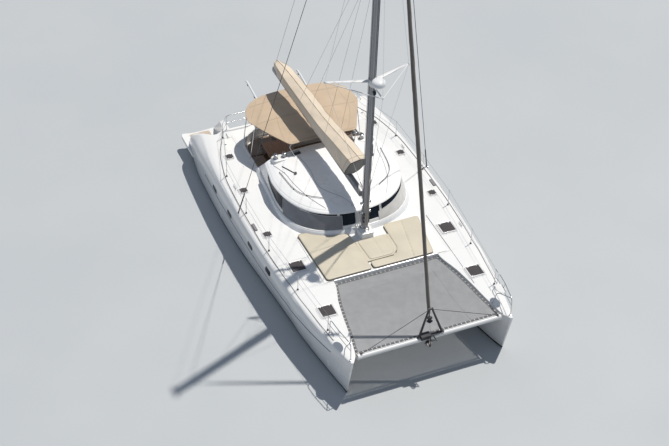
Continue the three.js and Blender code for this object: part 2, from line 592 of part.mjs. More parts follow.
const striker = { half: 400, topX: crossbeamX - 145, topZ: 2640, footZ: crossbeamZ + 86 };
const strikerFrame = () => {
  const top = [striker.topX, 0, striker.topZ];
  const legs = [-1, 1].map((sign) => rod([crossbeamX, sign * striker.half, striker.footZ], top, 42, 8, 30));
  const stays = [-1, 1].map((sign) => rod([crossbeamX, sign * 2380, striker.footZ - 4], [striker.topX, 0, striker.topZ - 20], 9, 6));
  return cutFrom(joined(...legs, ...stays, rod([striker.topX, 0, striker.topZ - 60], [striker.topX, 0, striker.topZ + 20], 40, 10)),
    rod([crossbeamX, -beamHalf, crossbeamZ], [crossbeamX, beamHalf, crossbeamZ], 85 + gap, 16));
};
add('striker', strikerFrame(), darkPlastic);

// Mast, spreaders, radar and main stays

const mastSection = { long: 165, wide: 95 };
function ellipseRing(x, y, z, long, wide, count = 14) {
  return Array.from({ length: count }, (_, i) => (i / count) * 2 * Math.PI).map((a) => [x + long * Math.cos(a), y + wide * Math.sin(a), z]);
}
const mastShape = (grow = 0) => loft([[mastStep.z + gap, 1], [houndsZ, 1], [mastTopZ, 0.75]].map(
  ([z, k]) => ellipseRing(mastX, 0, z, mastSection.long * k + grow, mastSection.wide * k + grow)));
const masthead = box(mastX - 260, mastX + 200, -45, 45, mastTopZ - 60, mastTopZ + 40);
// The gooseneck: two lugs on the aft face of the mast, with an upright pin for the boom.
const gooseneck = { x: mastX - mastSection.long - 60, z: 3140, half: 60, pin: 11 };
const lug = (z0) => [
  box(gooseneck.x, mastX, -34, 34, z0, z0 + 22),
  rod([gooseneck.x, 0, z0], [gooseneck.x, 0, z0 + 22], 34, 12),
];
const goosenecks = [
  ...lug(gooseneck.z + gooseneck.half + 8), ...lug(gooseneck.z - gooseneck.half - 30),
  rod([gooseneck.x, 0, gooseneck.z - gooseneck.half - 40], [gooseneck.x, 0, gooseneck.z + gooseneck.half + 40], gooseneck.pin, 10),
];
add('mast', joined(mastShape(), masthead, ...goosenecks), spar);

const spreader = { z: 7930, tipX: 1200, tipY: 1430, bowX: 2400, bowZ: 7800 };
const spreaders = () => {
  const arms = [-1, 1].map((sign) => rod([mastX - 20, sign * 60, spreader.z], [spreader.tipX, sign * spreader.tipY, spreader.z + 40], 45, 8, 28));
  const struts = [-1, 1].map((sign) => rod([spreader.tipX, sign * spreader.tipY, spreader.z + 40], [spreader.bowX, 0, spreader.bowZ], 16, 6));
  const nose = rod([mastX + 60, 0, spreader.bowZ], [spreader.bowX + 20, 0, spreader.bowZ], 26, 8);
  const collar = loft([spreader.z - 160, spreader.z + 80].map((z) => ellipseRing(mastX, 0, z, mastSection.long + 14, mastSection.wide + 14)));
  return cutFrom(joined(...arms, ...struts, nose, collar), mastShape(gap));
};
add('spreaders', spreaders(), spar);

const radar = { x: 2060, z: 8060, radius: 225 };
const radarPiece = () => {
  const profile = [[0, 0], [radar.radius * 0.82, 0], [radar.radius, 40], [radar.radius, 110], [radar.radius * 0.8, 180],
    [radar.radius * 0.45, 215], [0, 225]].map(([r, z]) => new THREE.Vector2(r, z));
  const dome = new THREE.LatheGeometry(profile, 20).rotateX(Math.PI / 2).translate(radar.x, 0, radar.z);
  const shelf = box(mastX + 100, radar.x + 120, -60, 60, radar.z - 28, radar.z + 4);
  const gusset = box(mastX + 100, mastX + 260, -12, 12, radar.z - 40, radar.z + 160);
  return cutFrom(joined(dome, shelf, gusset), mastShape(gap));
};
add('radar', radarPiece(), gelcoat);

// The stay stands on the crossbeam and passes just aft of the striker's top.
const stayFoot = [crossbeamX, 0, striker.footZ + 4];
const stayHead = [mastX + mastSection.long + 30, 0, houndsZ - 120];
const alongStay = (t) => stayFoot.map((v, i) => mix(v, stayHead[i], t));
const genoa = () => joined(
  rod(alongStay(0.026), alongStay(0.035), 100, 16),
  rod(alongStay(0), alongStay(1), 12, 6),
  rod(alongStay(0.042), alongStay(0.45), 60, 14, 72),
  rod(alongStay(0.445), alongStay(0.93), 71, 14, 45),
  cutFrom(box(mastX + 40, stayHead[0] + 20, -20, 20, houndsZ - 160, houndsZ - 90), mastShape(gap)),
);
add('furled_genoa', genoa(), spar);

for (const { name, sign } of sides) {
  const foot = [chainplate[0], chainplate[1] - 20, chainplate[2] + 8];
  const head = [mastX - 40, mastSection.wide + 40, houndsZ];
  const tang = cutFrom(box(mastX - 90, mastX + 10, 40, head[1] + 16, houndsZ - 60, houndsZ + 60), mastShape(gap));
  add(`shroud_${name}`, onSide(joined(rod(foot, head, 10, 6), rod(foot, foot.map((v, i) => mix(v, head[i], 0.022)), 20, 8), tang), sign), steel);
}

// Boom and sail bag, swung a little to starboard

const boomGroup = new THREE.Group();
boomGroup.position.set(gooseneck.x, 0, gooseneck.z);
const boomPitch = THREE.MathUtils.degToRad(5.3);
const boomSwing = THREE.MathUtils.degToRad(3.5);
boomGroup.rotation.set(0, boomPitch, boomSwing, 'ZYX');
craft.add(boomGroup);
const boom = { length: 7000, width: 190, height: 270 };
const spool = (x, width, height, z = 0) => [[-1, -1], [1, -1], [1, 1], [-1, 1]].flatMap(([sy, sz]) => [
  [x, sy * width / 2 * (sz * sy > 0 ? 1 : 0.6), z + sz * height / 2 * (sz * sy > 0 ? 0.6 : 1)],
  [x, sy * width / 2 * (sz * sy > 0 ? 0.6 : 1), z + sz * height / 2 * (sz * sy > 0 ? 1 : 0.6)],
]);
const boomBody = () => joined(
  loft([spool(-120, boom.width, boom.height), spool(-boom.length, boom.width * 0.9, boom.height * 0.85)]),
  box(-160, 30, -26, 26, -gooseneck.half + 4, gooseneck.half - 4),
);
// The pin's hole is upright, so it leans in the boom's own frame.
const [leanX, leanZ] = [200 * Math.sin(boomPitch), 200 * Math.cos(boomPitch)];
add('boom', cutFrom(boomBody(), rod([leanX, 0, -leanZ], [-leanX, 0, leanZ], gooseneck.pin + 2, 10)), spar, boomGroup);

// The bag's sections: distance aft of the gooseneck, top half width, top height, peak height, and how far the foot is aft of the peak.
const bagSections = [[-420, 330, 1020, 1130, 550], [-1500, 330, 880, 980], [-3200, 310, 620, 720], [-5200, 290, 520, 600],
  [-6250, 235, 450, 500], [-6850, 110, 300, 370]];
const bagRing = ([x, half, top, peak, rake = 0]) => [[-80, 0], [80, 0], [half, top * 0.75], [half * 0.92, top], [0, peak],
  [-half * 0.92, top], [-half, top * 0.75]].map(([y, z]) => [x - rake * (1 - z / peak), y, z + boom.height / 2 + 8]);
add('sail_bag', loft(bagSections.map(bagRing)), fabric, boomGroup);

// Rails, pulpits and davits

const railTop = 640;
const railMid = 330;
const postRadius = 13;
const wireRadius = 5;
const sternRail = { x: -5400, outerY: 2330, innerY: 1350 };
const posts = [[-5000, 2620], [-2900, 3240], [-800, 3310], [1270, 3290], [3360, 3110], [5420, 2930]];
// Each side has a stern rail, a guardrail and a pulpit. The wires of one start just clear of the last post of the one aft of it.
const standing = (places) => places.flatMap(([x, y]) => [
  rod([x, y, deckZ - 6], [x, y, deckZ + railTop + 6], postRadius, 6),
  rod([x, y, deckZ - 10], [x, y, deckZ + 40], 32, 8),
]);
const wires = (places) => [railTop, railMid].flatMap((h) => rail(places.map((place) => {
  const [x, y] = typeof place === 'function' ? place(h) : place;
  return [x, y, deckZ + h];
}), wireRadius, 6));
const clearOf = (last, next) => last.map((v, i) => mix(v, next[i], (postRadius + gap) / Math.hypot(next[0] - last[0], next[1] - last[1])));
const sternRailBody = () => {
  const { x, outerY, innerY } = sternRail;
  const hoop = rail([[x, outerY, deckZ - 20], [x, outerY, deckZ + railTop], [x, innerY, deckZ + railTop], [x, innerY, deckZ + gap]], postRadius, 6);
  const middle = rod([x, outerY, deckZ + railMid], [x, innerY, deckZ + railMid], 9, 6);
  const own = posts.slice(0, 2);
  return joined(...hoop, middle, ...standing(own), ...wires([[x, outerY], ...own]));
};
const guardrail = () => {
  const own = posts.slice(2, 4);
  return joined(...standing(own), ...wires([clearOf(posts[1], own[0]), ...own]));
};
const deckPart = (shape) => common(cutFrom(shape, box(-6000, 6500, -3000, 2190, 1000, deckZ + gap)), box(-6000, 7000, 0, 4000, deckZ + 16, 4000));
for (const { name, sign } of sides) {
  add(`stern_rail_${name}`, onSide(deckPart(sternRailBody()), sign), steel);
  add(`guardrail_${name}`, onSide(deckPart(guardrail()), sign), steel);
}

const pulpitTop = deckZ + railTop;
const bowCorner = [6820, 2775, pulpitTop];
const aftLeg = { top: [5600, 2940], foot: [5560, 2930] };
const outerHoop = [[6860, 2775, deckZ - 30], bowCorner, [6100, 2900, pulpitTop], [...aftLeg.top, pulpitTop], [...aftLeg.foot, deckZ + 4]];
const innerHoop = [bowCorner, [6250, 2560, deckZ + 480], [6180, 2480, deckZ + 4]];
const bowSeat = { x: 6130, y: 2740, halfLong: 230, halfWide: 150, z: deckZ + 470, thickness: 30 };
const pulpit = () => {
  const seatOutline = Array.from({ length: 14 }, (_, i) => (i / 14) * 2 * Math.PI).map(
    (a) => [bowSeat.x + bowSeat.halfLong * Math.cos(a), bowSeat.y + bowSeat.halfWide * Math.sin(a)]);
  const own = posts.slice(4);
  const onLeg = (h) => aftLeg.foot.map((v, i) => mix(v, aftLeg.top[i], h / railTop));
  return joined(
    ...rail(outerHoop, 14, 8),
    ...rail(innerHoop, 14, 8),
    prism(seatOutline, bowSeat.z, bowSeat.z + bowSeat.thickness),
    rod([bowSeat.x, bowSeat.y, bowSeat.z + 10], [bowSeat.x, 2900, pulpitTop], 12, 6),
    ...standing(own),
    ...wires([clearOf(posts[3], own[0]), ...own, onLeg]),
  );
};
for (const { name, sign } of sides) add(`pulpit_${name}`, onSide(deckPart(pulpit()), sign), steel);

const davit = { y: 1000, radius: 38, path: [[-5350, deckZ + 6], [-5380, 2350], [-6800, 2520], [-6900, 2470]], barX: -6000, barZ: 2423, barRadius: 28 };
const davits = () => {
  const arms = [-davit.y, davit.y].flatMap((y) => rail(davit.path.map(([x, z]) => [x, y, z]), davit.radius, 8));
  return joined(...arms, rod([davit.barX, -davit.y, davit.barZ], [davit.barX, davit.y, davit.barZ], davit.barRadius, 8));
};
add('davits', davits(), steel);

// Winches stand on a plinth at each aft corner of the roof.
const plinth = { x0: -2190, x1: -1850, y0: 1330, y1: 1890, z0: 2480, z1: 2705 };
const winchPlaces = [[-2020, 1450], [-2020, 1770]];
const winches = () => {
  const drums = winchPlaces.flatMap(([x, y]) => [
    rod([x, y, plinth.z1 - 5], [x, y, 2850], 85, 14, 62),
    rod([x, y, 2840], [x, y, 2890], 75, 14),
  ]);
  const roofBlock = loft(roofCrown.map(([scale, z]) => roofRing(scale, z + gap)));
  return joined(cutFrom(box(plinth.x0, plinth.x1, plinth.y0, plinth.y1, plinth.z0, plinth.z1), roofBlock), ...drums);
};
for (const { name, sign } of sides) add(`winches_${name}`, onSide(winches(), sign), steel);

export default craft;
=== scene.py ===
# A sailing catamaran, 14 m long, afloat with its sails stowed.
# Metres, +X to the bows, +Y to port, +Z up, the origin amidships at the waterline.
import math
import bmesh
import bpy
import numpy as np
from mathutils import Matrix, Vector
from mathutils.geometry import delaunay_2d_cdt


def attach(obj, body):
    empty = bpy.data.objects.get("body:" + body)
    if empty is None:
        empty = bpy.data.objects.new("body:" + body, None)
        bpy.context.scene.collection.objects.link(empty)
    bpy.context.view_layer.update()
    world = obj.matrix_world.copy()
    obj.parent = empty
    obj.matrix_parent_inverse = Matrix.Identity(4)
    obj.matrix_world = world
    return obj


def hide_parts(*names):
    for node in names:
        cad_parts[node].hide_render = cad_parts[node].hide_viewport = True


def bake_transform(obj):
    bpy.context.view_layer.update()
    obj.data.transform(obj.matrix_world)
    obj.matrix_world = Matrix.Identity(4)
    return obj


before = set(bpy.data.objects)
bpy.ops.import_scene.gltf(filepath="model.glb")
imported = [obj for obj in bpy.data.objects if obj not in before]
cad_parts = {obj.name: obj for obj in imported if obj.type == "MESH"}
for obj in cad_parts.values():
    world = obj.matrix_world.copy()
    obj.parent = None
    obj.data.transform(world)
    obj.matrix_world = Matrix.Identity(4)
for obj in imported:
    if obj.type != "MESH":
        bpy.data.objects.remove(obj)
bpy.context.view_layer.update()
SIDES = (("starboard", -1), ("port", 1))
TAU = 2 * math.pi
# Each material by its plain name, filled in by build()
PAINT = {}


# Camera, floor and light

def direction(azimuth, height):
    """A unit vector at that angle round from +X and that far above the horizon, in radians."""
    flat = math.cos(height)
    return Vector((flat * math.cos(azimuth), flat * math.sin(azimuth), math.sin(height)))


def camera():
    """The photograph's view: from ahead and to starboard, 40 degrees above the horizon."""
    azimuth, elevation, roll = 2.7143, 0.7079, 0.0381
    ahead = direction(azimuth, -elevation)
    right = ahead.cross(Vector((0, 0, 1))).normalized()
    up = right.cross(ahead)
    turned_right = right * math.cos(roll) + up * math.sin(roll)
    turned_up = up * math.cos(roll) - right * math.sin(roll)
    data = bpy.data.cameras.new("camera")
    data.lens, data.sensor_width = 86.73, 36.0
    data.clip_start, data.clip_end = 1.0, 400.0
    made = bpy.data.objects.new("camera", data)
    bpy.context.scene.collection.objects.link(made)
    made.matrix_world = Matrix.Translation((38.348, -17.836, 37.033)) @ Matrix(
        (turned_right, turned_up, -ahead)).transposed().to_4x4()
    bpy.context.scene.camera = made


def light():
    """A broad soft key from high on the port side, and a pale sky for the shade."""
    toward = direction(math.radians(111.7), math.radians(67.9))
    data = bpy.data.lights.new("key", "SUN")
    data.energy, data.angle, data.color = 3.65, math.radians(0.9), (1.0, 0.965, 0.91)
    key = bpy.data.objects.new("key", data)
    key.rotation_mode = "QUATERNION"
    key.rotation_quaternion = toward.to_track_quat("Z", "Y")
    bpy.context.scene.collection.objects.link(key)
    world = bpy.data.worlds.new("sky")
    bpy.context.scene.world = world
    world.use_nodes = True
    sky = world.node_tree.nodes["Background"].inputs
    sky["Color"].default_value, sky["Strength"].default_value = (0.62, 0.74, 0.95, 1), 0.41
    bpy.context.scene.view_settings.view_transform = "Standard"


# Materials: shader arithmetic

class Wire:
    """A shader socket that takes part in arithmetic."""

    def __init__(self, finish, socket):
        self.finish, self.socket = finish, socket

    def math(self, operation, *others):
        inputs = {i: value for i, value in enumerate((self, *others))}
        return self.finish.node("ShaderNodeMath", {"operation": operation}, inputs)

    def __add__(self, other):
        return self.math("ADD", other)

    def __sub__(self, other):
        return self.math("SUBTRACT", other)

    def __mul__(self, other):
        return self.math("MULTIPLY", other)

    def __rsub__(self, other):
        return self.math("MULTIPLY", -1.0).math("ADD", other)

    __radd__, __rmul__ = __add__, __mul__

    def __abs__(self):
        return self.math("ABSOLUTE")

    def above(self, level):
        return self.math("GREATER_THAN", level)

    def below(self, level):
        return self.math("LESS_THAN", level)

    def least(self, other):
        return self.math("MINIMUM", other)

    def most(self, other):
        return self.math("MAXIMUM", other)

    def wave(self, pitch):
        """The distance to the nearest multiple of pitch."""
        return self.math("PINGPONG", pitch / 2)

    def ramp(self, low, high):
        """0 below low, 1 above high, smooth between."""
        settings = {"interpolation_type": "SMOOTHSTEP"}
        return self.finish.node("ShaderNodeMapRange", settings, {0: self, 1: low, 2: high})


class Finish:
    """One material, painted on a Principled shader."""

    def __init__(self, name, colour, roughness=0.5, metallic=0.0, **sockets):
        self.material = bpy.data.materials.new(name)
        self.material.use_nodes = True
        self.tree = self.material.node_tree
        self.shader = self.tree.nodes["Principled BSDF"]
        self.set("Base Color", (*colour, 1.0))
        self.set("Roughness", roughness)
        self.set("Metallic", metallic)
        for key, value in sockets.items():
            self.set(key.replace("_", " ").title().replace("Ior", "IOR"), value)

    def put(self, socket, value):
        if isinstance(value, Wire):
            self.tree.links.new(value.socket, socket)
        else:
            socket.default_value = value

    def set(self, name, value):
        self.put(self.shader.inputs[name], value)

    def node(self, kind, settings, inputs, out=0):
        made = self.tree.nodes.new(kind)
        for key, value in settings.items():
            setattr(made, key, value)
        for key, value in inputs.items():
            self.put(made.inputs[key], value)
        return Wire(self, made.outputs[out])

    def place(self):
        """The point on the piece, in the frame's metres."""
        return self.node("ShaderNodeTexCoord", {}, {}, "Object")

    def axes(self, place):
        made = self.node("ShaderNodeSeparateXYZ", {}, {0: place}).socket.node
        return [Wire(self, made.outputs[i]) for i in range(3)]

    def noise(self, place, scale, detail=3.0, roughness=0.55):
        inputs = {"Vector": place, "Scale": scale, "Detail": detail, "Roughness": roughness}
        return self.node("ShaderNodeTexNoise", {}, inputs)

    def stretched(self, place, x, y, z):
        return self.node("ShaderNodeVectorMath", {"operation": "MULTIPLY"}, {0: place, 1: (x, y, z)})

    def mix(self, share, a, b):
        a, b = ((*c, 1.0) if isinstance(c, tuple) and len(c) == 3 else c for c in (a, b))
        return self.node("ShaderNodeMix", {"data_type": "RGBA"}, {0: share, 6: a, 7: b}, 2)

    def bump(self, height, strength=0.5, distance=0.01):
        return self.node("ShaderNodeBump", {}, {"Height": height, "Strength": strength, "Distance": distance})


def shade(colour, factor):
    return tuple(c * factor for c in colour)


WHITE = (0.78, 0.772, 0.75)
STRIPE = (0.03, 0.08, 0.17)


def white_topsides():
    """Glossy white gelcoat with a thin blue stripe, and black bottom paint up to the waterline."""
    made = Finish("white_topsides", WHITE, 0.22, coat_weight=0.3, coat_roughness=0.08)
    place = made.place()
    x, y, z = made.axes(place)
    cloud = made.noise(place, 0.9, 4.0).ramp(0.35, 0.7)
    white = made.mix(cloud * 0.5, shade(WHITE, 0.965), shade(WHITE, 1.02))
    ahead, behind = x.most(0.0), x.least(0.0)
    sheer = ahead * ahead * 0.010 + behind * 0.017 + 0.92
    stripe = abs(z - sheer).below(0.024) * x.above(-4.2) * x.below(5.98) * abs(y).above(2.74)
    scum = z.ramp(0.10, 0.34)
    rain = made.noise(made.stretched(place, 9, 9, 0.7), 1.0, 4.0).ramp(0.45, 0.8)
    stained = made.mix((1 - scum) * 0.35 + rain * 0.05, white, (0.52, 0.50, 0.42))
    striped = made.mix(stripe, stained, STRIPE)
    bottom = z.below(0.075)
    foul = made.noise(place, 6.0, 6.0)
    paint = made.mix(foul.ramp(0.35, 0.7), (0.012, 0.014, 0.018), (0.045, 0.05, 0.05))
    made.set("Base Color", made.mix(bottom, striped, paint))
    made.set("Roughness", bottom * 0.55 + 0.2 + cloud * 0.08)
    long_wave = made.noise(made.stretched(place, 0.5, 1.0, 1.0), 1.2, 2.0)
    made.set("Normal", made.bump(foul * bottom * 0.4 + long_wave * 0.3, 0.25, 0.012))
    return made.material


def white_deck():
    """White moulded deck with fine grit in its walking areas."""
    made = Finish("white_deck", WHITE, 0.4)
    place = made.place()
    z = made.axes(place)[2]
    flat = z.above(1.655) * z.below(1.75)
    grit = made.noise(place, 260.0, 2.0, 0.7)
    edge = made.noise(place, 1.1, 3.0)
    traffic = made.noise(place, 2.6, 5.0).ramp(0.42, 0.72)
    colour = made.mix(edge.ramp(0.3, 0.7), shade(WHITE, 0.985), (0.775, 0.757, 0.715))
    colour = made.mix(traffic * flat * 0.12, colour, (0.60, 0.56, 0.48))
    made.set("Base Color", colour)
    made.set("Roughness", flat * 0.28 + 0.36)
    made.set("Normal", made.bump(grit * flat, 0.35, 0.0015))
    return made.material


def white_moulding(name="white_moulding", colour=WHITE):
    """Plain glossy moulding for the cabin, seats and lids."""
    made = Finish(name, colour, 0.28, coat_weight=0.25, coat_roughness=0.1)
    place = made.place()
    cloud = made.noise(place, 1.7, 4.0)
    made.set("Base Color", made.mix(cloud.ramp(0.35, 0.7), shade(colour, 0.97), shade(colour, 1.015)))
    made.set("Roughness", cloud * 0.16 + 0.2)
    made.set("Normal", made.bump(made.noise(place, 3.5, 2.0), 0.1, 0.01))
    return made.material


def tan_canvas(name, colour):
    """Woven acrylic canvas, faded and a little creased."""
    made = Finish(name, colour, 0.85, sheen_weight=0.25)
    place = made.place()
    x, y, z = made.axes(place)
    weave = (x.wave(0.004) + y.wave(0.004) + z.wave(0.004)) * 120
    fade = made.noise(place, 1.3, 5.0).ramp(0.3, 0.75)
    crease = made.noise(made.stretched(place, 3.0, 3.0, 1.5), 2.4, 4.0, 0.6)
    made.set("Base Color", made.mix(fade, shade(colour, 0.93), shade(colour, 1.05)))
    made.set("Normal", made.bump(crease * 0.6 + weave * 0.02, 0.5, 0.02))
    return made.material


def plain_cloth(name, colour, weave=0.004, crease=0.35):
    """A plain woven fabric."""
    made = Finish(name, colour, 0.88, sheen_weight=0.2)
    place = made.place()
    x, y, z = made.axes(place)
    threads = (x.wave(weave) + y.wave(weave) + z.wave(weave)) * (0.5 / weave)
    fold = made.noise(place, 4.0, 4.0)
    made.set("Base Color", made.mix(fold.ramp(0.3, 0.7), shade(colour, 0.92), shade(colour, 1.04)))
    made.set("Normal", made.bump(fold * crease + threads * 0.03, 0.4, 0.012))
    return made.material


def vinyl(name, colour):
    """Soft marine vinyl with a fine grain."""
    made = Finish(name, colour, 0.55, sheen_weight=0.1)
    place = made.place()
    cells = {"Vector": place, "Scale": 300.0}
    grain = made.node("ShaderNodeTexVoronoi", {"feature": "DISTANCE_TO_EDGE"}, cells)
    wear = made.noise(place, 1.9, 5.0).ramp(0.35, 0.75)
    made.set("Base Color", made.mix(wear, shade(colour, 0.95), shade(colour, 1.04)))
    made.set("Roughness", wear * 0.15 + 0.48)
    soft = made.noise(place, 5.0, 3.0)
    made.set("Normal", made.bump(soft * 0.7 + grain * 0.1, 0.35, 0.012))
    return made.material


def teak(name, pitch=0.05, axis=1, colour=(0.42, 0.235, 0.12)):
    """Oiled teak in narrow planks with dark caulking, the planks running along the other axis."""
    made = Finish(name, colour, 0.55)
    place = made.place()
    axes = made.axes(place)
    gap = 1 - axes[axis].wave(pitch).ramp(0.0012, 0.0028)
    fibres = [1.6 if i == 1 - axis else 26.0 for i in range(3)]
    boards = [1.2 if i == 1 - axis else 1 / pitch for i in range(3)]
    grain = made.noise(made.stretched(place, *fibres), 1.6, 6.0, 0.65)
    plank = made.noise(made.stretched(place, *boards), 1.0, 1.0)
    wood = made.mix(grain.ramp(0.3, 0.72), shade(colour, 0.72), shade(colour, 1.22))
    wood = made.mix(plank.ramp(0.35, 0.65) * 0.5, wood, shade(colour, 1.1))
    made.set("Base Color", made.mix(gap, wood, (0.02, 0.018, 0.016)))
    made.set("Roughness", grain * 0.25 + 0.42)
    made.set("Normal", made.bump(grain * 0.15 - gap * 0.6, 0.4, 0.002))
    return made.material


def polished_steel(name="polished_steel", colour=(0.72, 0.73, 0.74), roughness=0.16):
    made = Finish(name, colour, roughness, 1.0)
    place = made.place()
    smear = made.noise(place, 14.0, 4.0)
    made.set("Roughness", smear * 0.14 + roughness * 0.6)
    made.set("Base Color", made.mix(smear.ramp(0.5, 0.85) * 0.5, colour, shade(colour, 0.82)))
    return made.material


def painted(name, colour, roughness=0.45, metallic=0.0, scale=3.0):
    """Paint with slight weathering."""
    made = Finish(name, colour, roughness, metallic)
    place = made.place()
    worn = made.noise(place, scale, 5.0)
    chalky = tuple(c * 0.9 + 0.035 for c in colour)
    made.set("Base Color", made.mix(worn.ramp(0.4, 0.8) * 0.55, shade(colour, 0.95), chalky))
    made.set("Roughness", worn * 0.2 + roughness * 0.78)
    made.set("Normal", made.bump(made.noise(place, 70.0, 3.0), 0.06, 0.001))
    return made.material


def dark_spar(name="dark_spar"):
    """Slate painted spar: streaks run up it."""
    made = Finish(name, (0.13, 0.127, 0.125), 0.42, 0.25)
    place = made.place()
    streak = made.noise(made.stretched(place, 16, 16, 0.35), 1.0, 5.0)
    patch = made.noise(place, 0.6, 4.0)
    made.set("Base Color", made.mix(streak.ramp(0.35, 0.75), (0.25, 0.25, 0.26), (0.42, 0.41, 0.40)))
    made.set("Roughness", patch * 0.25 + 0.3)
    return made.material


def smoked_glass(name, colour=(0.010, 0.018, 0.030)):
    made = Finish(name, colour, 0.06, specular_ior_level=0.12)
    place = made.place()
    salt = made.noise(place, 8.0, 6.0)
    made.set("Base Color", made.mix(salt.ramp(0.45, 0.8) * 0.4, colour, tuple(c + 0.02 for c in colour)))
    made.set("Roughness", salt * 0.14 + 0.05)
    return made.material


def laid_rope(name, colour, fleck):
    """Braided rope with a coloured fleck."""
    made = Finish(name, colour, 0.85)
    place = made.place()
    x, y, z = made.axes(place)
    braid = (x + y + z).wave(0.012) * 160
    made.set("Base Color", made.mix(braid.ramp(0.55, 0.8), colour, fleck))
    made.set("Normal", made.bump(braid, 0.5, 0.002))
    return made.material


# Meshes

def smooth_line(points, steps=6, loop=False):
    """A curve through the points, with that many steps between each two."""
    p = np.array(points, float)
    p = np.vstack([p[-1], p, p[:2]]) if loop else np.vstack([2 * p[0] - p[1], p, 2 * p[-1] - p[-2]])
    t = np.linspace(0, 1, steps, endpoint=False)[:, None]
    runs = [0.5 * (2 * b + (c - a) * t + (2 * a - 5 * b + 4 * c - d) * t ** 2
                   + (3 * b - a - 3 * c + d) * t ** 3) for a, b, c, d in zip(p, p[1:], p[2:], p[3:])]
    return np.vstack(runs if loop else runs + [p[-2:-1]])


def rounded_line(points, radius, steps=5, loop=False):
    """Straight runs whose corners are rounded off to about that radius."""
    p = [np.array(q, float) for q in points]
    count = len(p)
    made = [] if loop else [p[0]]
    for i in range(count) if loop else range(1, count - 1):
        before, at, after = p[i - 1], p[i], p[(i + 1) % count]
        reach = [min(radius, 0.48 * np.linalg.norm(q - at)) for q in (before, after)]
        start, end = (at + (q - at) / np.linalg.norm(q - at) * r for q, r in zip((before, after), reach))
        for t in np.linspace(0, 1, steps + 1):
            made.append((1 - t) ** 2 * start + 2 * t * (1 - t) * at + t ** 2 * end)
    return np.array(made if loop else made + [p[-1]])


def steady(xs, ys, at):
    """Values at the given places on a cubic through the table that never overshoots it."""
    h, slope = np.diff(xs), np.diff(ys) / np.diff(xs)
    tangent = np.concatenate([slope[:1], np.zeros(len(xs) - 2), slope[-1:]])
    for i in range(1, len(xs) - 1):
        if slope[i - 1] * slope[i] > 0:
            a, b = 2 * h[i] + h[i - 1], h[i] + 2 * h[i - 1]
            tangent[i] = (a + b) / (a / slope[i - 1] + b / slope[i])
    i = np.clip(np.searchsorted(xs, at, side="right") - 1, 0, len(xs) - 2)
    t = (at - xs[i]) / h[i]
    return ((1 + 2 * t) * (1 - t) ** 2 * ys[i] + t * (1 - t) ** 2 * h[i] * tangent[i]
            + t ** 2 * (3 - 2 * t) * ys[i + 1] + t ** 2 * (t - 1) * h[i] * tangent[i + 1])


def rounded_square(x, y, size, corner):
    straight, made = size / 2 - corner, []
    for sx, sy, start in ((1, 1, 0), (-1, 1, 90), (-1, -1, 180), (1, -1, 270)):
        for angle in (math.radians(start + 18 * i) for i in range(6)):
            made.append((x + sx * straight + corner * math.cos(angle),
                         y + sy * straight + corner * math.sin(angle)))
    return made


def rounded_box(x0, y0, x1, y1, radius, steps=5):
    return rounded_line([(x0, y0), (x1, y0), (x1, y1), (x0, y1)], radius, steps, True)


def circle(count):
    """That many directions round a circle, as (cosine, sine)."""
    return [(math.cos(a), math.sin(a)) for a in np.arange(count) * TAU / count]


def raised(line, heights):
    """A plan line with a height for each of its points."""
    return [(x, y, z) for (x, y), z in zip(line, heights)]


def superellipse(middle, front, half, power, steps):
    """Half an outline round the front, from port to starboard."""
    points = []
    for angle in np.linspace(math.pi / 2, -math.pi / 2, steps + 1):
        c, s = math.cos(angle), math.sin(angle)
        points.append((middle + (front - middle) * abs(c) ** (2 / power),
                       half * math.copysign(abs(s) ** (2 / power), s)))
    return points


def coordinates(points):
    return np.array([tuple(p) for p in points], float)


def spaced(line, pitch, loop=False):
    """The line with its points evenly spaced, about that far apart."""
    p = coordinates(line)
    if loop:
        p = np.vstack([p, p[:1]])
    run = np.concatenate([[0], np.cumsum(np.linalg.norm(np.diff(p, axis=0), axis=1))])
    at = np.linspace(0, run[-1], max(2, round(run[-1] / pitch)) + 1)
    made = np.stack([np.interp(at, run, p[:, i]) for i in range(p.shape[1])], 1)
    return made[:-1] if loop else made


def length_of(path):
    return float(np.linalg.norm(np.diff(coordinates(path), axis=0), axis=1).sum())


def grown(outline, by):
    """A closed plan outline moved outward by that much, corner by corner."""
    p = np.array(outline, float)
    area = np.sum(p[:, 0] * np.roll(p[:, 1], -1) - p[:, 1] * np.roll(p[:, 0], -1))
    run = np.roll(p, -1, 0) - np.roll(p, 1, 0)
    run /= np.maximum(np.linalg.norm(run, axis=1), 1e-9)[:, None]
    return p + by * math.copysign(1, area) * np.stack([run[:, 1], -run[:, 0]], 1)


def grown_open(line, by):
    """An open plan line moved sideways, to its right."""
    p = np.array(line, float)
    run = np.gradient(p, axis=0)
    run /= np.linalg.norm(run, axis=1)[:, None]
    return p + by * np.stack([run[:, 1], -run[:, 0]], 1)


def distance_to(points, line, loop=False):
    """Each plan point's distance to a line."""
    q = np.array(line, float)[:, :2]
    if loop:
        q = np.vstack([q, q[:1]])
    best = np.full(len(points), 1e9)
    for a, b in zip(q, q[1:]):
        ab = b - a
        t = np.clip(((points - a) @ ab) / max(ab @ ab, 1e-12), 0, 1)
        best = np.minimum(best, np.linalg.norm(points - a - t[:, None] * ab, axis=1))
    return best


def inside(points, outline):
    x, y = points.T
    q = np.array(outline, float)
    found = np.zeros(len(points), bool)
    for (ax, ay), (bx, by) in zip(q, np.roll(q, -1, 0)):
        if ay != by:
            found ^= ((ay > y) != (by > y)) & (x < (bx - ax) * (y - ay) / (by - ay) + ax)
    return found


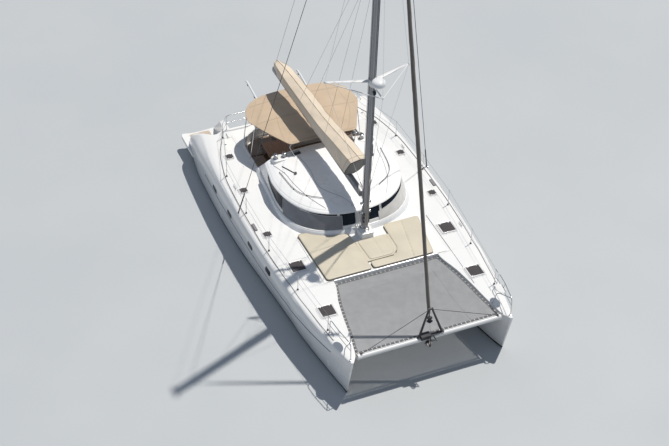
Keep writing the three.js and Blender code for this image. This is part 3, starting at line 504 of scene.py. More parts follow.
def filled(outline, pitch):
    """Plan points and triangles that fill an outline, the outline's own points first."""
    rim = np.array(outline, float)
    low, high = rim.min(0), rim.max(0)
    xs, ys = np.arange(low[0], high[0], pitch), np.arange(low[1], high[1], pitch * 0.87)
    grid = np.array([(x + (pitch / 2 if row % 2 else 0), y) for row, y in enumerate(ys) for x in xs])
    grid = grid[inside(grid, rim)]
    grid = grid[distance_to(grid, rim, True) > pitch * 0.45]
    around = [list(range(len(rim)))]
    points, _, faces, *_ = delaunay_2d_cdt([Vector(p) for p in (*rim, *grid)], [], around, 1, 1e-6)
    return coordinates(points), [tuple(face) for face in faces]


def walls(loop, shift):
    """Faces that join a closed loop of points to the same loop further on in the list."""
    return [(a, b, shift + b, shift + a) for a, b in zip(loop, loop[1:] + loop[:1])]


def both_faces(faces, shift):
    return [*faces, *[tuple(shift + i for i in face)[::-1] for face in faces]]


class Form:
    """Points and faces that grow into one mesh."""

    def __init__(self):
        self.points, self.faces, self.slots = [], [], []

    def patch(self, points, faces, slot=0):
        base = len(self.points)
        self.points.extend(tuple(float(v) for v in p) for p in points)
        self.faces.extend(tuple(base + i for i in face) for face in faces)
        self.slots.extend([slot] * len(faces))
        return self

    def loft(self, rings, slot=0, loop=False, caps=True):
        """A skin over rings of equal point counts."""
        count, last = len(rings[0]), len(rings)
        faces = []
        for r in range(last if loop else last - 1):
            for i in range(count):
                j, s = (i + 1) % count, (r + 1) % last
                faces.append((r * count + i, r * count + j, s * count + j, s * count + i))
        if caps and not loop:
            faces.append(tuple(range(count))[::-1])
            faces.append(tuple(range((last - 1) * count, last * count)))
        return self.patch([p for ring in rings for p in ring], faces, slot)

    def layers(self, outline, levels, slot=0, loop=False):
        """A plan outline stacked up: each level is (how much it grows, z)."""
        return self.loft([[(x, y, z) for x, y in grown(outline, by)] for by, z in levels], slot, loop)

    def plate(self, profile, ys, slot=0):
        """A side profile of (x, z) drawn out across the boat."""
        return self.loft([[(x, y, z) for x, z in profile] for y in ys], slot)

    def fin(self, half, levels, y, tail=()):
        """A fin: half is its section's one side, and each level is (z, front x, back x, half thickness)."""
        section = [*half, *tail, *[(t, -w) for t, w in half[::-1][:-1]]]
        return self.loft([[(between(front, back, t), y + w * thick, z) for t, w in section]
                          for z, front, back, thick in levels])

    def tube(self, path, radius, sides=10, slot=0, loop=False, flat=1.0):
        """A round bar along a line; radius may be a list, and flat squeezes it across."""
        p = coordinates(path)
        count = len(p)
        radii = np.broadcast_to(np.asarray(radius, float), (count,))
        along = np.gradient(p, axis=0) if not loop else np.roll(p, -1, 0) - np.roll(p, 1, 0)
        along /= np.linalg.norm(along, axis=1)[:, None]
        side = np.cross(along[0], (0, 0, 1) if abs(along[0][2]) < 0.9 else (1, 0, 0))
        across, upward = np.array(circle(sides)).T[:, :, None]
        rings = []
        for i in range(count):
            side = side - along[i] * (side @ along[i])
            side /= np.linalg.norm(side)
            rings.append(p[i] + radii[i] * (across * side * flat + upward * np.cross(side, along[i])))
        return self.loft(rings, slot, loop)

    def bar(self, start, end, radius, sides=10, slot=0, radius_end=None):
        return self.tube([start, end], [radius, radius_end or radius], sides, slot)

    def lathe(self, profile, centre, sides=24, slot=0, axis=(0, 0, 1)):
        """A turned shape: profile is (radius, height) along the axis, from the bottom up."""
        turn = Vector((0, 0, 1)).rotation_difference(Vector(axis)).to_matrix()
        centre, profile = Vector(centre), [(max(r, 1e-4), h) for r, h in profile]
        return self.loft([[centre + turn @ Vector((r * c, r * s, h)) for c, s in circle(sides)]
                          for r, h in profile], slot)

    def prism(self, outline, low, high, slot=0):
        return self.loft([[(x, y, z) for x, y in outline] for z in (low, high)], slot)

    def block(self, low, high, slot=0):
        (x0, y0, z0), (x1, y1, z1) = low, high
        return self.prism([(x0, y0), (x1, y0), (x1, y1), (x0, y1)], z0, z1, slot)

    def cushion(self, outline, low, high, pitch=0.035, lip=0.03, crown=0.012, seams=(), ripple=0.0):
        """A soft pad: its sides bulge, its top is crowned, and each seam is drawn down into it."""
        deep = high - low
        rim = spaced(outline, pitch, True)
        bulge = [(-0.014, 0.0), (-0.002, 0.12), (0.004, 0.35), (0.003, 0.62), (-0.004, 0.84),
                 (-lip * 0.55, 0.955)]
        sides = [[(x, y, low + deep * t) for x, y in grown(rim, by)] for by, t in bulge]
        points, faces = filled(grown(rim, -lip), pitch)
        edge = distance_to(points, grown(rim, -lip), True)
        top = low + deep * 0.99 + crown * (1 - np.exp(-edge / 0.16))
        for line, depth, width in seams:
            top -= depth * np.exp(-(distance_to(points, line) / width) ** 2)
        x, y = points.T
        top += ripple * np.sin(x * 7 + y * 3) * np.sin(y * 9 - x * 2) * np.minimum(1, edge / 0.1)
        sides.append(raised(points[:len(rim)], top))
        self.loft(sides, caps=False)
        self.patch([(x, y, low) for x, y in grown(rim, -0.014)], [tuple(range(len(rim)))[::-1]])
        return self.patch(raised(points, top), faces)

    def moved(self, change):
        self.points = [tuple(change(Vector(p))) for p in self.points]
        return self

    def mirrored(self):
        made = Form()
        made.points = [(x, -y, z) for x, y, z in self.points]
        made.faces, made.slots = [face[::-1] for face in self.faces], list(self.slots)
        return made

    def mesh(self, name, sharp=35):
        made = bpy.data.meshes.new(name)
        made.from_pydata(self.points, [], self.faces)
        made.polygons.foreach_set("material_index", self.slots)
        settle(made, sharp)
        return made


def settle(mesh, sharp):
    """Points that meet are welded, faces turned out, edges above that angle kept crisp."""
    work = bmesh.new()
    work.from_mesh(mesh)
    bmesh.ops.remove_doubles(work, verts=work.verts, dist=2e-5)
    bmesh.ops.recalc_face_normals(work, faces=work.faces)
    work.to_mesh(mesh)
    work.free()
    mesh.polygons.foreach_set("use_smooth", [True] * len(mesh.polygons))
    mesh.set_sharp_from_angle(angle=math.radians(sharp))


def placed(name, mesh):
    made = bpy.data.objects.new(name, mesh)
    bpy.context.scene.collection.objects.link(made)
    return made


def carved(form, cutters, sharp):
    """The form's mesh with each cutter taken out of it."""
    body, *tools = [placed("cutter", shape.mesh("cutter", sharp)) for shape in (form, *cutters)]
    for tool in tools:
        cut = body.modifiers.new("cut", "BOOLEAN")
        cut.operation, cut.solver, cut.object = "DIFFERENCE", "EXACT", tool
    mesh = bpy.data.meshes.new_from_object(body.evaluated_get(bpy.context.evaluated_depsgraph_get()))
    for spent in (body, *tools):
        bpy.data.objects.remove(spent)
    settle(mesh, sharp)
    return mesh


def softened(made, width, segments=2, degrees=32):
    """Crisp edges rounded off by that width."""
    edge = made.modifiers.new("edges", "BEVEL")
    edge.width, edge.segments, edge.harden_normals = width, segments, True
    edge.limit_method, edge.angle_limit = "ANGLE", math.radians(degrees)


def piece(name, shape, finishes, body="boat", stands_for=None, slot=None, side=1, sharp=35, bevel=0.0,
          segments=2):
    """A finished piece of the boat, from a form or a mesh, mirrored for starboard."""
    if isinstance(shape, Form):
        mesh = (shape.mirrored() if side < 0 else shape).mesh(name, sharp)
    else:
        mesh = shape.copy()
        if side < 0:
            mesh.transform(Matrix.Scale(-1, 4, (0, 1, 0)))
            mesh.flip_normals()
    made = placed(name, mesh)
    for finish in finishes.split():
        mesh.materials.append(PAINT[finish])
    if bevel:
        softened(made, bevel, segments)
    if body:
        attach(made, body)
    if stands_for:
        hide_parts(stands_for)
    return made


def pair(name, shape, finishes, body="boat", stands_for=None, **options):
    """The same piece on each side: its body and its node take the side's name too."""
    for side_name, side in SIDES:
        piece(f"{name}_{side_name}", shape, finishes, body if body == "boat" else f"{body}_{side_name}",
              stands_for and f"{stands_for}_{side_name}", side=side, **options)


# Hulls

# Heights above the waterline of the deck, the cockpit's sole and the roof's eave
DECK = 1.67
SOLE = 0.9
EAVE = 2.43
# x, keel z, waterline y outside and inside, widest y z, deck edge y z, inner deck edge y z, inner chine z
HULL = np.array([
    (-7.00, -0.02, 3.20, 2.62, 3.37, 0.54, 3.33, 0.61, 2.20, 0.62, 0.42),
    (-6.45, -0.15, 3.28, 2.53, 3.42, 0.58, 3.38, 0.66, 2.20, 1.25, 0.50),
    (-6.10, -0.23, 3.36, 2.48, 3.48, 1.05, 3.33, 1.23, 2.20, 1.60, 0.60),
    (-5.50, -0.35, 3.45, 2.43, 3.53, 1.10, 2.50, DECK, 2.20, DECK, 0.70),
    (-5.00, -0.43, 3.50, 2.39, 3.56, 1.12, 2.66, DECK, 2.20, DECK, 0.70),
    (-4.18, -0.52, 3.53, 2.35, 3.59, 1.15, 3.03, DECK, 2.20, DECK, 0.70),
    (-3.50, -0.58, 3.55, 2.33, 3.61, 1.17, 3.20, DECK, 2.20, DECK, 0.70),
    (-2.50, -0.64, 3.56, 2.30, 3.63, 1.20, 3.35, DECK, 2.20, DECK, 0.70),
    (-0.80, -0.70, 3.51, 2.27, 3.63, 1.23, 3.40, DECK, 2.20, DECK, 0.70),
    (0.70, -0.73, 3.39, 2.25, 3.60, 1.25, 3.40, DECK, 2.20, DECK, 0.70),
    (2.00, -0.73, 3.27, 2.24, 3.545, 1.26, 3.345, DECK, 2.20, DECK, 0.70),
    (2.75, -0.715, 3.215, 2.24, 3.50, 1.26, 3.30, DECK, 2.20, DECK, 0.70),
    (3.40, -0.69, 3.17, 2.25, 3.45, 1.27, 3.245, DECK, 2.20, DECK, 0.70),
    (3.404, -0.69, 3.17, 2.25, 3.45, 1.27, 3.245, DECK, 1.87, DECK, 1.38),
    (4.40, -0.62, 3.08, 2.29, 3.34, 1.29, 3.15, DECK, 2.12, DECK, 1.38),
    (5.20, -0.52, 2.98, 2.37, 3.22, 1.31, 3.06, DECK, 2.27, DECK, 1.38),
    (5.90, -0.40, 2.90, 2.48, 3.09, 1.33, 2.955, DECK - 0.01, 2.38, DECK - 0.01, 1.38),
    (6.40, -0.28, 2.84, 2.58, 2.98, 1.36, 2.88, DECK - 0.02, 2.48, DECK - 0.02, 1.39),
    (6.745, -0.16, 2.79, 2.66, 2.90, 1.40, 2.835, DECK - 0.04, 2.56, DECK - 0.04, 1.40),
    (7.00, -0.10, 2.77, 2.735, 2.80, 1.45, 2.785, DECK - 0.06, 2.73, DECK - 0.06, 1.42)])
STEM_RAKE, RAKE_START = 0.35, 5.0


def between(a, b, t):
    return a + (b - a) * t


def hull_row(x):
    return [x] + [float(steady(HULL[:, 0], HULL[:, i], x)) for i in range(1, HULL.shape[1])]


def hull_skin(row):
    """The port hull's outside from the inner chine round the keel to the deck edge, as (y, z)."""
    _, keel_z, outer, inner, wide_y, wide_z, edge_y, edge_z, deck_y, _, chine_z = row
    keel_y, half = (outer + inner) / 2, (outer - inner) / 2
    knuckle = (between(wide_y, edge_y, 0.28), between(wide_z, edge_z, 0.82))
    side = smooth_line([
        (deck_y, chine_z), (between(deck_y, inner, 0.6), chine_z * 0.6), (inner, 0),
        (keel_y - half * 0.85, keel_z * 0.55), (keel_y - half * 0.5, keel_z * 0.9), (keel_y, keel_z),
        (keel_y + half * 0.5, keel_z * 0.9), (keel_y + half * 0.85, keel_z * 0.55), (outer, 0),
        (between(outer, wide_y, 0.75), wide_z * 0.6), (wide_y, wide_z),
        (between(wide_y, edge_y, 0.06), between(wide_z, edge_z, 0.45)), knuckle], 5)
    rolled = (between(knuckle[0], edge_y, 0.4), between(knuckle[1], edge_z, 0.66))
    return np.vstack([side, smooth_line([knuckle, rolled, (edge_y, edge_z)], 4)[1:]])


def raked(x, z):
    return x - max(0.0, (x - RAKE_START) / (7 - RAKE_START)) * STEM_RAKE * (DECK - z) / DECK


def hull_ring(x):
    row = hull_row(x)
    edge_y, edge_z, deck_y, inner_z = row[6:10]
    camber = [(between(edge_y, deck_y, t), between(edge_z, inner_z, t) + 0.06 * t * (1 - t))
              for t in (0.25, 0.5, 0.75, 1)]
    return [(raked(x, z), y, z) for y, z in [*hull_skin(row), *camber]]


def hull_side(x, z):
    """The outer side's y at that x and z."""
    skin = hull_skin(hull_row(x))
    outside = skin[len(skin) // 2:]
    return float(np.interp(z, outside[:, 1], outside[:, 0]))


# The scoop aft of the deck: its front wall in plan, and each tread's height and shift
SCOOP_WALL = [(-6.10, 3.70), (-6.00, 3.43), (-5.76, 3.24), (-5.48, 3.04), (-5.32, 2.80), (-5.40, 2.56),
              (-5.62, 2.42)]
SCOOP_INNER = [(-5.80, 2.38), (-6.50, 2.29), (-7.30, 2.26), (-7.30, 3.70)]
TREADS = ((0.60, -0.56), (0.96, -0.28), (1.31, 0.0))

# Deck hatches: x, y and the width of the square lid
HATCHES = ((-3.88, 2.78, 0.30), (-1.94, 2.98, 0.30), (0.50, 3.05, 0.30), (2.34, 2.72, 0.56),
           (4.63, 2.62, 0.56))
# Portlights and the outlet along the outer side: x and z
PORTLIGHTS = ((-3.1, 1.06), (-1.6, 1.10), (0.35, 1.24), (1.85, 1.34))
OUTLET = (-4.2, 0.85)


def scoop(shift):
    wall = smooth_line([(x + shift, y) for x, y in SCOOP_WALL], 6)
    return [*map(tuple, wall), *[(x, y + shift * 0.004) for x, y in SCOOP_INNER]]


# Opposite corners of what is cut out for the engine: the lid's rebate, the trunk and the bay below
ENGINE_CUTS = (((-4.95, 2.29, DECK - 0.03), (-4.25, 2.72, DECK + 0.1)),
               ((-4.91, 2.33, 1.15), (-4.29, 2.68, DECK + 0.05)),
               ((-5.05, 2.48, -0.15), (-4.15, 3.20, 1.25)))
FRAME_PITCH = 0.12


def hull_mesh():
    xs = [HULL[0, 0]]
    for a, b in zip(HULL[:, 0], HULL[1:, 0]):
        xs.extend(np.linspace(a, b, max(1, round((b - a) / FRAME_PITCH)) + 1)[1:])
    steps = [Form().prism(scoop(shift), z, 2.5) for z, shift in TREADS]
    wells = Form()
    for x, y, size in HATCHES:
        wells.prism(rounded_square(x, y, size - 0.05, 0.05), DECK - 0.26, DECK + 0.1)
    engine = [Form().block(*corners) for corners in ENGINE_CUTS]
    return carved(Form().loft([hull_ring(x) for x in xs]), [*steps, wells, *engine], 40)


# How far out the keel and the propeller's shaft are, and the rudder
KEEL_Y, RUDDER_Y = 2.88, 2.89


def keel_and_flange():
    """The keel, and the stern platform's rubbing edge and sill."""
    half = smooth_line([(0.06, -0.7), (0, 0), (0.06, 0.7), (0.3, 1), (0.65, 0.62), (0.65, 0.62)], 4)[4:]
    levels = [(-0.55, 1.0, -1.25, 0.135), (-1.0, 0.85, -1.15, 0.11), (-1.25, 0.67, -1.06, 0.085),
              (-1.29, 0.6, -1.0, 0.05)]
    shape = Form().fin(half, levels, KEEL_Y, [(1, 0.04), (1, -0.04)])
    flange = [(-5.75, 3.38), (-7.06, 3.38), (-7.09, 3.48), (-6.98, 3.54), (-5.75, 3.535)]
    shape.loft([[(x, y + lean, z) for x, y in rounded_line(flange, 0.05, 5, True)]
                for z, lean in ((0.47, -0.02), (0.5, 0), (0.585, 0), (0.603, -0.012))])
    sill = [(-6.9, 2.16), (-7.05, 2.2), (-7.0, 2.8), (-7.01, 3.2), (-7.08, 3.4), (-6.9, 3.45)]
    return shape.layers(rounded_line(sill, 0.06, 5, True), [(0, 0.46), (0, 0.5), (0, 0.604)])


def hatch_rims():
    shape = Form()
    for x, y, size in HATCHES:
        rings = [(0.085, DECK - 0.03), (0.08, DECK + 0.016), (0.062, DECK + 0.024), (0.0, DECK + 0.022),
                 (-0.05, DECK + 0.02), (-0.056, DECK + 0.012), (-0.056, DECK - 0.255), (-0.03, DECK - 0.255)]
        shape.loft([[(px, py, z) for px, py in rounded_square(x, y, size + grow, 0.05 + max(0, grow) / 2)]
                    for grow, z in rings], loop=True)
    return shape


def portlights():
    """Four small dark ports along each side, and an outlet where the stripe ends."""
    shape = Form()
    for x, z in (*PORTLIGHTS, OUTLET):
        y = hull_side(x, z)
        slope = (hull_side(x + 0.2, z) - hull_side(x - 0.2, z)) / 0.4
        along = Vector((1, slope, 0)).normalized()
        upward = Vector((0, hull_side(x, z + 0.1) - y, 0.1)).normalized()
        out = along.cross(upward) * -1
        at = Vector((x, y, z))
        if (x, z) == OUTLET:
            shape.lathe([(0.035, -0.02), (0.035, 0.004), (0.022, 0.007)], at, 18, 1, out)
            continue
        for long, high, proud, slot in ((0.20, 0.095, 0.010, 1), (0.182, 0.077, 0.0125, 0)):
            outline = rounded_box(-long, -high, long, high, high, 6)
            shape.loft([[at + along * (u * k) + upward * (v * k) + out * d for u, v in outline]
                        for d, k in ((-0.03, 1), (proud - 0.003, 1), (proud, 0.97))], slot)
    return shape


def toe_lines():
    """A low dark line along the deck's edge, with the sheet's block on it."""
    shape = Form()
    edge = [(x, hull_row(x)[6] - 0.012) for x in np.linspace(-5.0, 5.9, 45)]
    line = smooth_line([(-5.5, 2.46), *edge], 2)
    shape.tube([(x, y, DECK + 0.004) for x, y in line], np.interp(line[:, 0], (2.3, 2.7), (0.016, 0.012)), 8)
    shape.block((-0.17, 3.27, DECK), (0.18, 3.36, DECK + 0.045))
    return shape


def teak_treads():
    """Teak pads let into the platform and the steps."""
    shape = Form()
    for k, (z, shift) in enumerate(TREADS):
        low, high = (2.50, 3.22) if k else (2.42, 3.30)
        wall = smooth_line([(x + shift - 0.05, y) for x, y in SCOOP_WALL], 6)
        front = [(x, y) for x, y in wall if low < y < high]
        back = [(x - 0.28 + 0.09 if k else -6.93 + 0.02 * math.sin(y * 4), y) for x, y in front]
        shape.prism(rounded_line([*front, *back[::-1]][::3], 0.03, 2, True), z + 0.001, z + 0.009)
    return shape


def hulls():
    pair("hull_shell", hull_mesh(), "topsides", stands_for="hull", slot="gelcoat")
    pair("keel", keel_and_flange(), "topsides", slot="gelcoat")
    pair("hatch_rims", hatch_rims(), "moulding", slot="gelcoat")
    pair("portlights", portlights(), "glass stripe_frame", slot="glass")
    pair("toe_line", toe_lines(), "toe_line")
    pair("treads", teak_treads(), "teak_across", slot="teak")


# Bridgedeck

def cockpit_outline(inset=0.0):
    y, aft, radius = 2.05 - inset, -5.05 + inset, 0.95 - inset
    half = [(-2.11, y)] + [(aft + radius - radius * math.sin(a), y - radius + radius * math.cos(a))
                           for a in np.linspace(0, math.pi / 2, 17)]
    return half + [(x, -w) for x, w in half[::-1]]


# The cabin's outline at its foot and at its eave: how far it reaches ahead, out and aft
WALL_BASE = dict(z=DECK, front=1.45, half=2.31, middle=-0.6, aft=-2.95, aft_half=2.11)
WALL_TOP = dict(z=EAVE, front=1.18, half=2.16, middle=-1.0, aft=-2.25, aft_half=2.04)


def wall_line(z, offset=0.0, steps=64):
    """The cabin's outline at a height, from the port aft corner round the front."""
    t = (z - WALL_BASE["z"]) / (WALL_TOP["z"] - WALL_BASE["z"])
    at = {key: between(WALL_BASE[key], WALL_TOP[key], t) for key in WALL_BASE}
    half, aft_half = at["half"] + offset, at["aft_half"] + offset
    arc = superellipse(at["middle"], at["front"] + offset, half, 2.5, steps)
    corner = [(between(at["aft"], at["middle"], k), between(aft_half, half, k ** 0.8))
              for k in np.linspace(0, 1, 9)[:-1]]
    return [(x, y, z) for x, y in (*corner, *arc, *[(x, -y) for x, y in corner[::-1]])]


def band(profile, first=0, last=None):
    """A section that runs round the cabin: profile is (offset, z) in order round the section."""
    lines = [wall_line(z, offset) for offset, z in profile]
    return Form().loft([list(ring) for ring in zip(*lines)][first:last])


def bridgedeck():
    aft = [(-5.45, DECK), (-5.86, 1.30), (-5.82, 1.22), (-5.65, 0.70)]
    fore = [(3.15, 0.70), (3.395, 0.95), (3.395, 1.69), (1.1, 1.69), (1.1, DECK)]
    profile = [*rounded_line(aft, 0.05, 4), *fore]
    saloon = [(max(x, -2.4), y * 0.98) for x, y, _ in wall_line(DECK, -0.33, 32)]
    rooms = [Form().prism(outline, SOLE, 2.5) for outline in (cockpit_outline(), saloon)]
    mesh = carved(Form().plate(profile, (-2.2, 2.2)), rooms, 30)
    piece("deck_middle", mesh, "deck", stands_for="bridgedeck", slot="gelcoat", bevel=0.012)
    levels = [(0.012, 1.68), (0.012, 1.70), (0.0, 1.72), (0.0, 1.905), (-0.006, 1.92), (-0.02, 1.925)]
    step = Form().layers(rounded_box(1.32, -0.23, 1.90, 0.23, 0.06), levels)
    piece("mast_step", step, "moulding", slot="gelcoat")
    edge = [(3.33, 1.688), (3.36, 1.703), (3.40, 1.703), (3.425, 1.69), (3.43, 1.60), (3.42, 1.545),
            (3.398, 1.54), (3.396, 1.6)]
    piece("foredeck_edge", Form().plate(edge, (-1.86, 1.86)), "moulding", slot="gelcoat", bevel=0.006)
    path = spaced(cockpit_outline(-0.03), 0.12)
    section = [(-0.03, 0.0), (-0.03, 0.022), (-0.018, 0.034), (0.03, 0.034), (0.045, 0.02), (0.047, 0.0)]
    lines = [[(x, y, DECK - 0.004 + z) for x, y in grown_open(path, by)] for by, z in section]
    piece("cockpit_rim", Form().loft([list(ring) for ring in zip(*lines)]), "moulding", slot="gelcoat")


# Cabin

WINDOW_SIDE = rounded_line([(-1.98, 2.335), (-1.2, 2.39), (1.62, 2.39), (1.62, 1.95), (-0.85, 1.95),
                            (-1.35, 1.985), (-1.75, 2.09)], 0.12, 5, True)
WINDOW_FRONT = rounded_box(0.19, 1.96, 0.72, 2.38, 0.05)
# A window's cover: the x where it starts, the y where it ends, its foot and its head
COVER_BACK, COVER_FRONT = -0.33, 0.77
COVER_LOW, COVER_HIGH = 1.865, 2.405
# How far the head of its forward end hangs down, as a share of its height
COVER_DROP = {"starboard": 0.16, "port": 0.45}


def cabin_walls():
    heights = [DECK - 0.04, 1.8, 2.0, 2.2, EAVE]
    wall = band([*[(0.0, z) for z in heights], *[(-0.06, z) for z in heights[::-1]]])
    openings = []
    for side in (-1, 1):
        openings.append(Form().plate(WINDOW_SIDE, (side * 0.8, side * 2.6)))
        openings.append(Form().loft([[(x, side * y, z) for y, z in WINDOW_FRONT] for x in (1.0, 1.7)]))
    piece("cabin_sides", carved(wall, openings, 30), "moulding", stands_for="cabin_wall", slot="gelcoat")
    coaming = band([(-0.012, 1.64), (0.078, 1.64), (0.072, 1.685), (0.060, 1.79), (0.052, 1.825),
                    (0.036, 1.845), (0.012, 1.85), (-0.012, 1.846)])
    # The coaming's finish is a white moulding made a little lighter to thin the shade along it: painted
    # light.
    piece("cabin_coaming", coaming, "coaming_painted_light", slot="gelcoat")
    lip = band([(0.004, 1.842), (0.040, 1.838), (0.044, 1.848), (0.038, 1.860), (0.004, 1.864)])
    piece("cabin_lip", lip, "moulding", slot="gelcoat")
    line = wall_line(2.1)
    first = next(i for i, p in enumerate(line) if p[0] > -2.0)
    middle = next(i for i, p in enumerate(line) if p[1] < 0.08)
    pane = [*[(-0.020, z) for z in (1.93, 2.15, 2.40)], *[(-0.032, z) for z in (2.40, 2.15, 1.93)]]
    pair("window_glass", band(pane, first, middle), "glass", stands_for="window", slot="glass")
    for name, side in SIDES:
        window_cover(name, side, line)


def window_cover(name, side, line):
    """A fabric screen snapped over the forward windows, slightly slack between its studs."""
    first = next(i for i, p in enumerate(line) if p[0] > COVER_BACK)
    last = next(i for i, p in enumerate(line) if p[1] < COVER_FRONT)
    rows = 13
    levels = [(row / (rows - 1), between(COVER_LOW, COVER_HIGH, row / (rows - 1))) for row in range(rows)]
    walls_at = [[p[:2] for p in wall_line(z, 0.008, 128)[2 * first - 8:2 * last - 6]] for _, z in levels]
    paths = [spaced(wall, 0.045) for wall in walls_at]
    count = min(len(path) for path in paths)
    grid = []
    for (t, z), path in zip(levels, paths):
        path = spaced(path, length_of(path) / (count - 1))[:count]
        slack = [0.006 * math.sin(math.pi * t) * (0.6 + 0.4 * math.sin(9 * i / count + 3 * t))
                 + 0.003 * math.sin(21 * i / count + 5 * t) for i in range(len(path))]
        normal = grown_open(path, -1) - path
        grid.append([(x + nx * w, y + ny * w, z) for (x, y), (nx, ny), w in zip(path, normal, slack)])
    feet, heads = list(grid[0]), list(grid[-1])
    for (t, _), row in zip(levels, grid):
        for i, at in enumerate(row):
            drop = COVER_DROP[name] * t * (i / (len(row) - 1)) ** 1.4
            row[i] = tuple(p - drop * (b - a) for p, a, b in zip(at, feet[i], heads[i]))
    # The screen's finish is one fabric in two copies: painted sunlight on the port copy, painted shade on the
    # starboard copy.
    made = piece(f"window_screen_{name}", cloth_grid(grid, 0.004), f"screen_{name}",
                 stands_for=f"window_cover_{name}", slot="cover_fabric", side=side)
    hem = Form().tube([Vector(p) for p in spaced(rim_of(grid), 0.06, True)], 0.0065, 6, loop=True)
    for row, inward in ((grid[0], 0.02), (grid[-1], -0.02)):
        for x, y, z in row[2:-1:6]:
            stud = Vector((x, y, z)) + Vector((0, 0, inward))
            hem.lathe([(0.011, -0.004), (0.012, 0.004), (0.008, 0.009)], stud, 10, 1, (x + 0.9, y * 1.4, 0))
    edge = piece(f"window_screen_hem_{name}", hem, "screen_hem steel", side=side)


def rim_of(grid):
    """A grid's outermost entries, in order round it."""
    right, left = [row[-1] for row in grid[1:]], [row[0] for row in grid[::-1][1:-1]]
    return [*grid[0], *right, *grid[-1][::-1][1:], *left]


def cloth_grid(grid, thickness):
    """A thin closed cloth over a grid of points."""
    g = np.array(grid, float)
    normal = np.cross(np.gradient(g, axis=1), np.gradient(g, axis=0))
    normal /= np.maximum(np.linalg.norm(normal, axis=-1), 1e-9)[..., None]
    total = g.shape[0] * g.shape[1]
    at = np.arange(total).reshape(g.shape[:2]).tolist()
    faces = [(a, b, d, c) for row, after in zip(at, at[1:])
             for a, b, c, d in zip(row, row[1:], after, after[1:])]
    points = [*(g + normal * thickness / 2).reshape(-1, 3), *(g - normal * thickness / 2).reshape(-1, 3)]
    return Form().patch(points, both_faces(faces, total) + walls(rim_of(at), total))


ROOF = dict(aft=-2.23, middle=-1.2, front=1.26, half=2.25, aft_half=2.11)
# The roof's rise above its eave at each share of the way out from its middle
ROOF_SCALE = np.array([0.0, 0.3, 0.62, 0.86, 0.97])
ROOF_RISE = np.array([0.318, 0.31, 0.255, 0.165, 0.070])


def roof_rise(scale):
    return float(steady(ROOF_SCALE, ROOF_RISE, scale))


def roof_line(scale, z, inset=0.0, aft=ROOF["aft"]):
    """The roof's outline drawn in to that share of its size."""
    half, aft_half, corner = ROOF["half"] - inset, ROOF["aft_half"] - inset, 0.09
    arc = superellipse(ROOF["middle"], ROOF["front"] - inset, half, 2.3, 72)
    straight = [(aft, y) for y in np.linspace(0, aft_half - corner, 8)[1:-1]]
    rounded = [(aft + (1 - math.cos(a)) * corner, aft_half - corner + corner * math.sin(a))
               for a in np.linspace(0, math.pi / 2, 5)]
    half_aft = [*straight, *rounded]
    outline = [*half_aft, *arc, *[(x, -y) for x, y in half_aft[::-1]]]
    return [(aft + (x - aft) * scale, y * scale, z) for x, y in outline]


def roof_height(x, y):
    """The roof's top at a plan point."""
    aft, middle, front, half = ROOF["aft"], ROOF["middle"], ROOF["front"], ROOF["half"]
    low, high = 0.0, 1.0
    for _ in range(24):
        scale = (low + high) / 2
        u, v = (x - aft) / scale + aft, abs(y) / scale
        if u < middle:
            beyond = v > between(ROOF["aft_half"], half, (u - aft) / (middle - aft))
        else:
            beyond = ((u - middle) / (front - middle)) ** 2.3 + (v / half) ** 2.3 > 1
        low, high = (scale, high) if beyond else (low, scale)
    return EAVE + roof_rise(min(scale, 0.97))


def on_roof(x, y, lift=0.0):
    return (x, y, roof_height(x, y) + lift)


def cabin_roof():
    lining = [(k, roof_rise(k) - 0.045) for k in (0.02, 0.1, 0.3, 0.5, 0.7, 0.86, 0.95)]
    edge = [(0.985, -0.03), (1.0, -0.028), (1.004, -0.012), (1.004, 0.004), (0.998, 0.02), (0.985, 0.046),
            (0.981, 0.0495), (0.977, 0.0500), (0.974, 0.0535), (0.971, 0.066)]
    crown = [(k, roof_rise(k)) for k in (0.96, 0.945, 0.93, 0.91, 0.88, 0.84, 0.79, 0.72, 0.64, 0.54, 0.42,
                                         0.3, 0.18, 0.08, 0.02)]
    rings = [roof_line(k, EAVE + z, 0.16, -1.95) for k, z in (*lining, (1.0, 0.005), (1.0, -0.02))]
    rings += [roof_line(k, EAVE + z) for k, z in (*edge, *crown)]
    # The roof's finish is painted lighter than the other mouldings: painted sunlight.
    piece("cabin_top", Form().loft(rings), "roof", stands_for="cabin_roof", slot="gelcoat", sharp=40)
    fittings = Form()
    for side in (-1, 1):
        line = [(-1.36, 1.89), (-0.37, 1.76), (0.12, 1.48), (0.45, 1.03)]
        rail = [on_roof(x, side * y, 0.035) for x, y in smooth_line(line, 8)]
        rail = [on_roof(*rail[0][:2]), *rail, on_roof(*rail[-1][:2])]
        fittings.tube(rounded_line(rail, 0.03, 4), 0.0105, 10)
        for x, y in line[1:3]:
            foot = [(0.026, -0.02), (0.026, 0.006), (0.012, 0.010), (0.011, 0.035)]
            fittings.lathe(foot, on_roof(x, side * y), 14)
        track = [on_roof(x, side * y, 0.012) for x, y in ((-1.59, 1.70), (-1.30, 1.565), (-1.02, 1.43))]
        fittings.tube(track, 0.018, 8)
        fittings.lathe([(0.045, 0.0), (0.045, 0.05), (0.02, 0.07)], track[2], 14)
    piece("roof_grab_rails", fittings, "dark_rail")


def bulkhead():
    """The aft wall, its window and the sliding door keep their solids, softened at the edges."""
    # The wall and the door are painted near-black: partly their dark frames, partly painted shade under the
    # canopy.
    keep("aft_bulkhead", "dark_frame_and_shade", 0.006)
    keep("saloon_door", "dark_frame_and_shade", 0.006)
    keep("bulkhead_window", "glass", 0.002)
    grip = [(-2.205, 0.32, 1.55), (-2.25, 0.32, 1.55), (-2.25, 0.32, 1.85), (-2.205, 0.32, 1.85)]
    piece("door_handle", Form().tube(rounded_line(grip, 0.02, 4), 0.011), "steel", body="door")
    pane = Form().block((-2.196, -0.345, 1.495), (-2.186, 0.345, 2.245))
    piece("door_glass", pane, "glass", body="door", slot="glass", bevel=0.002)


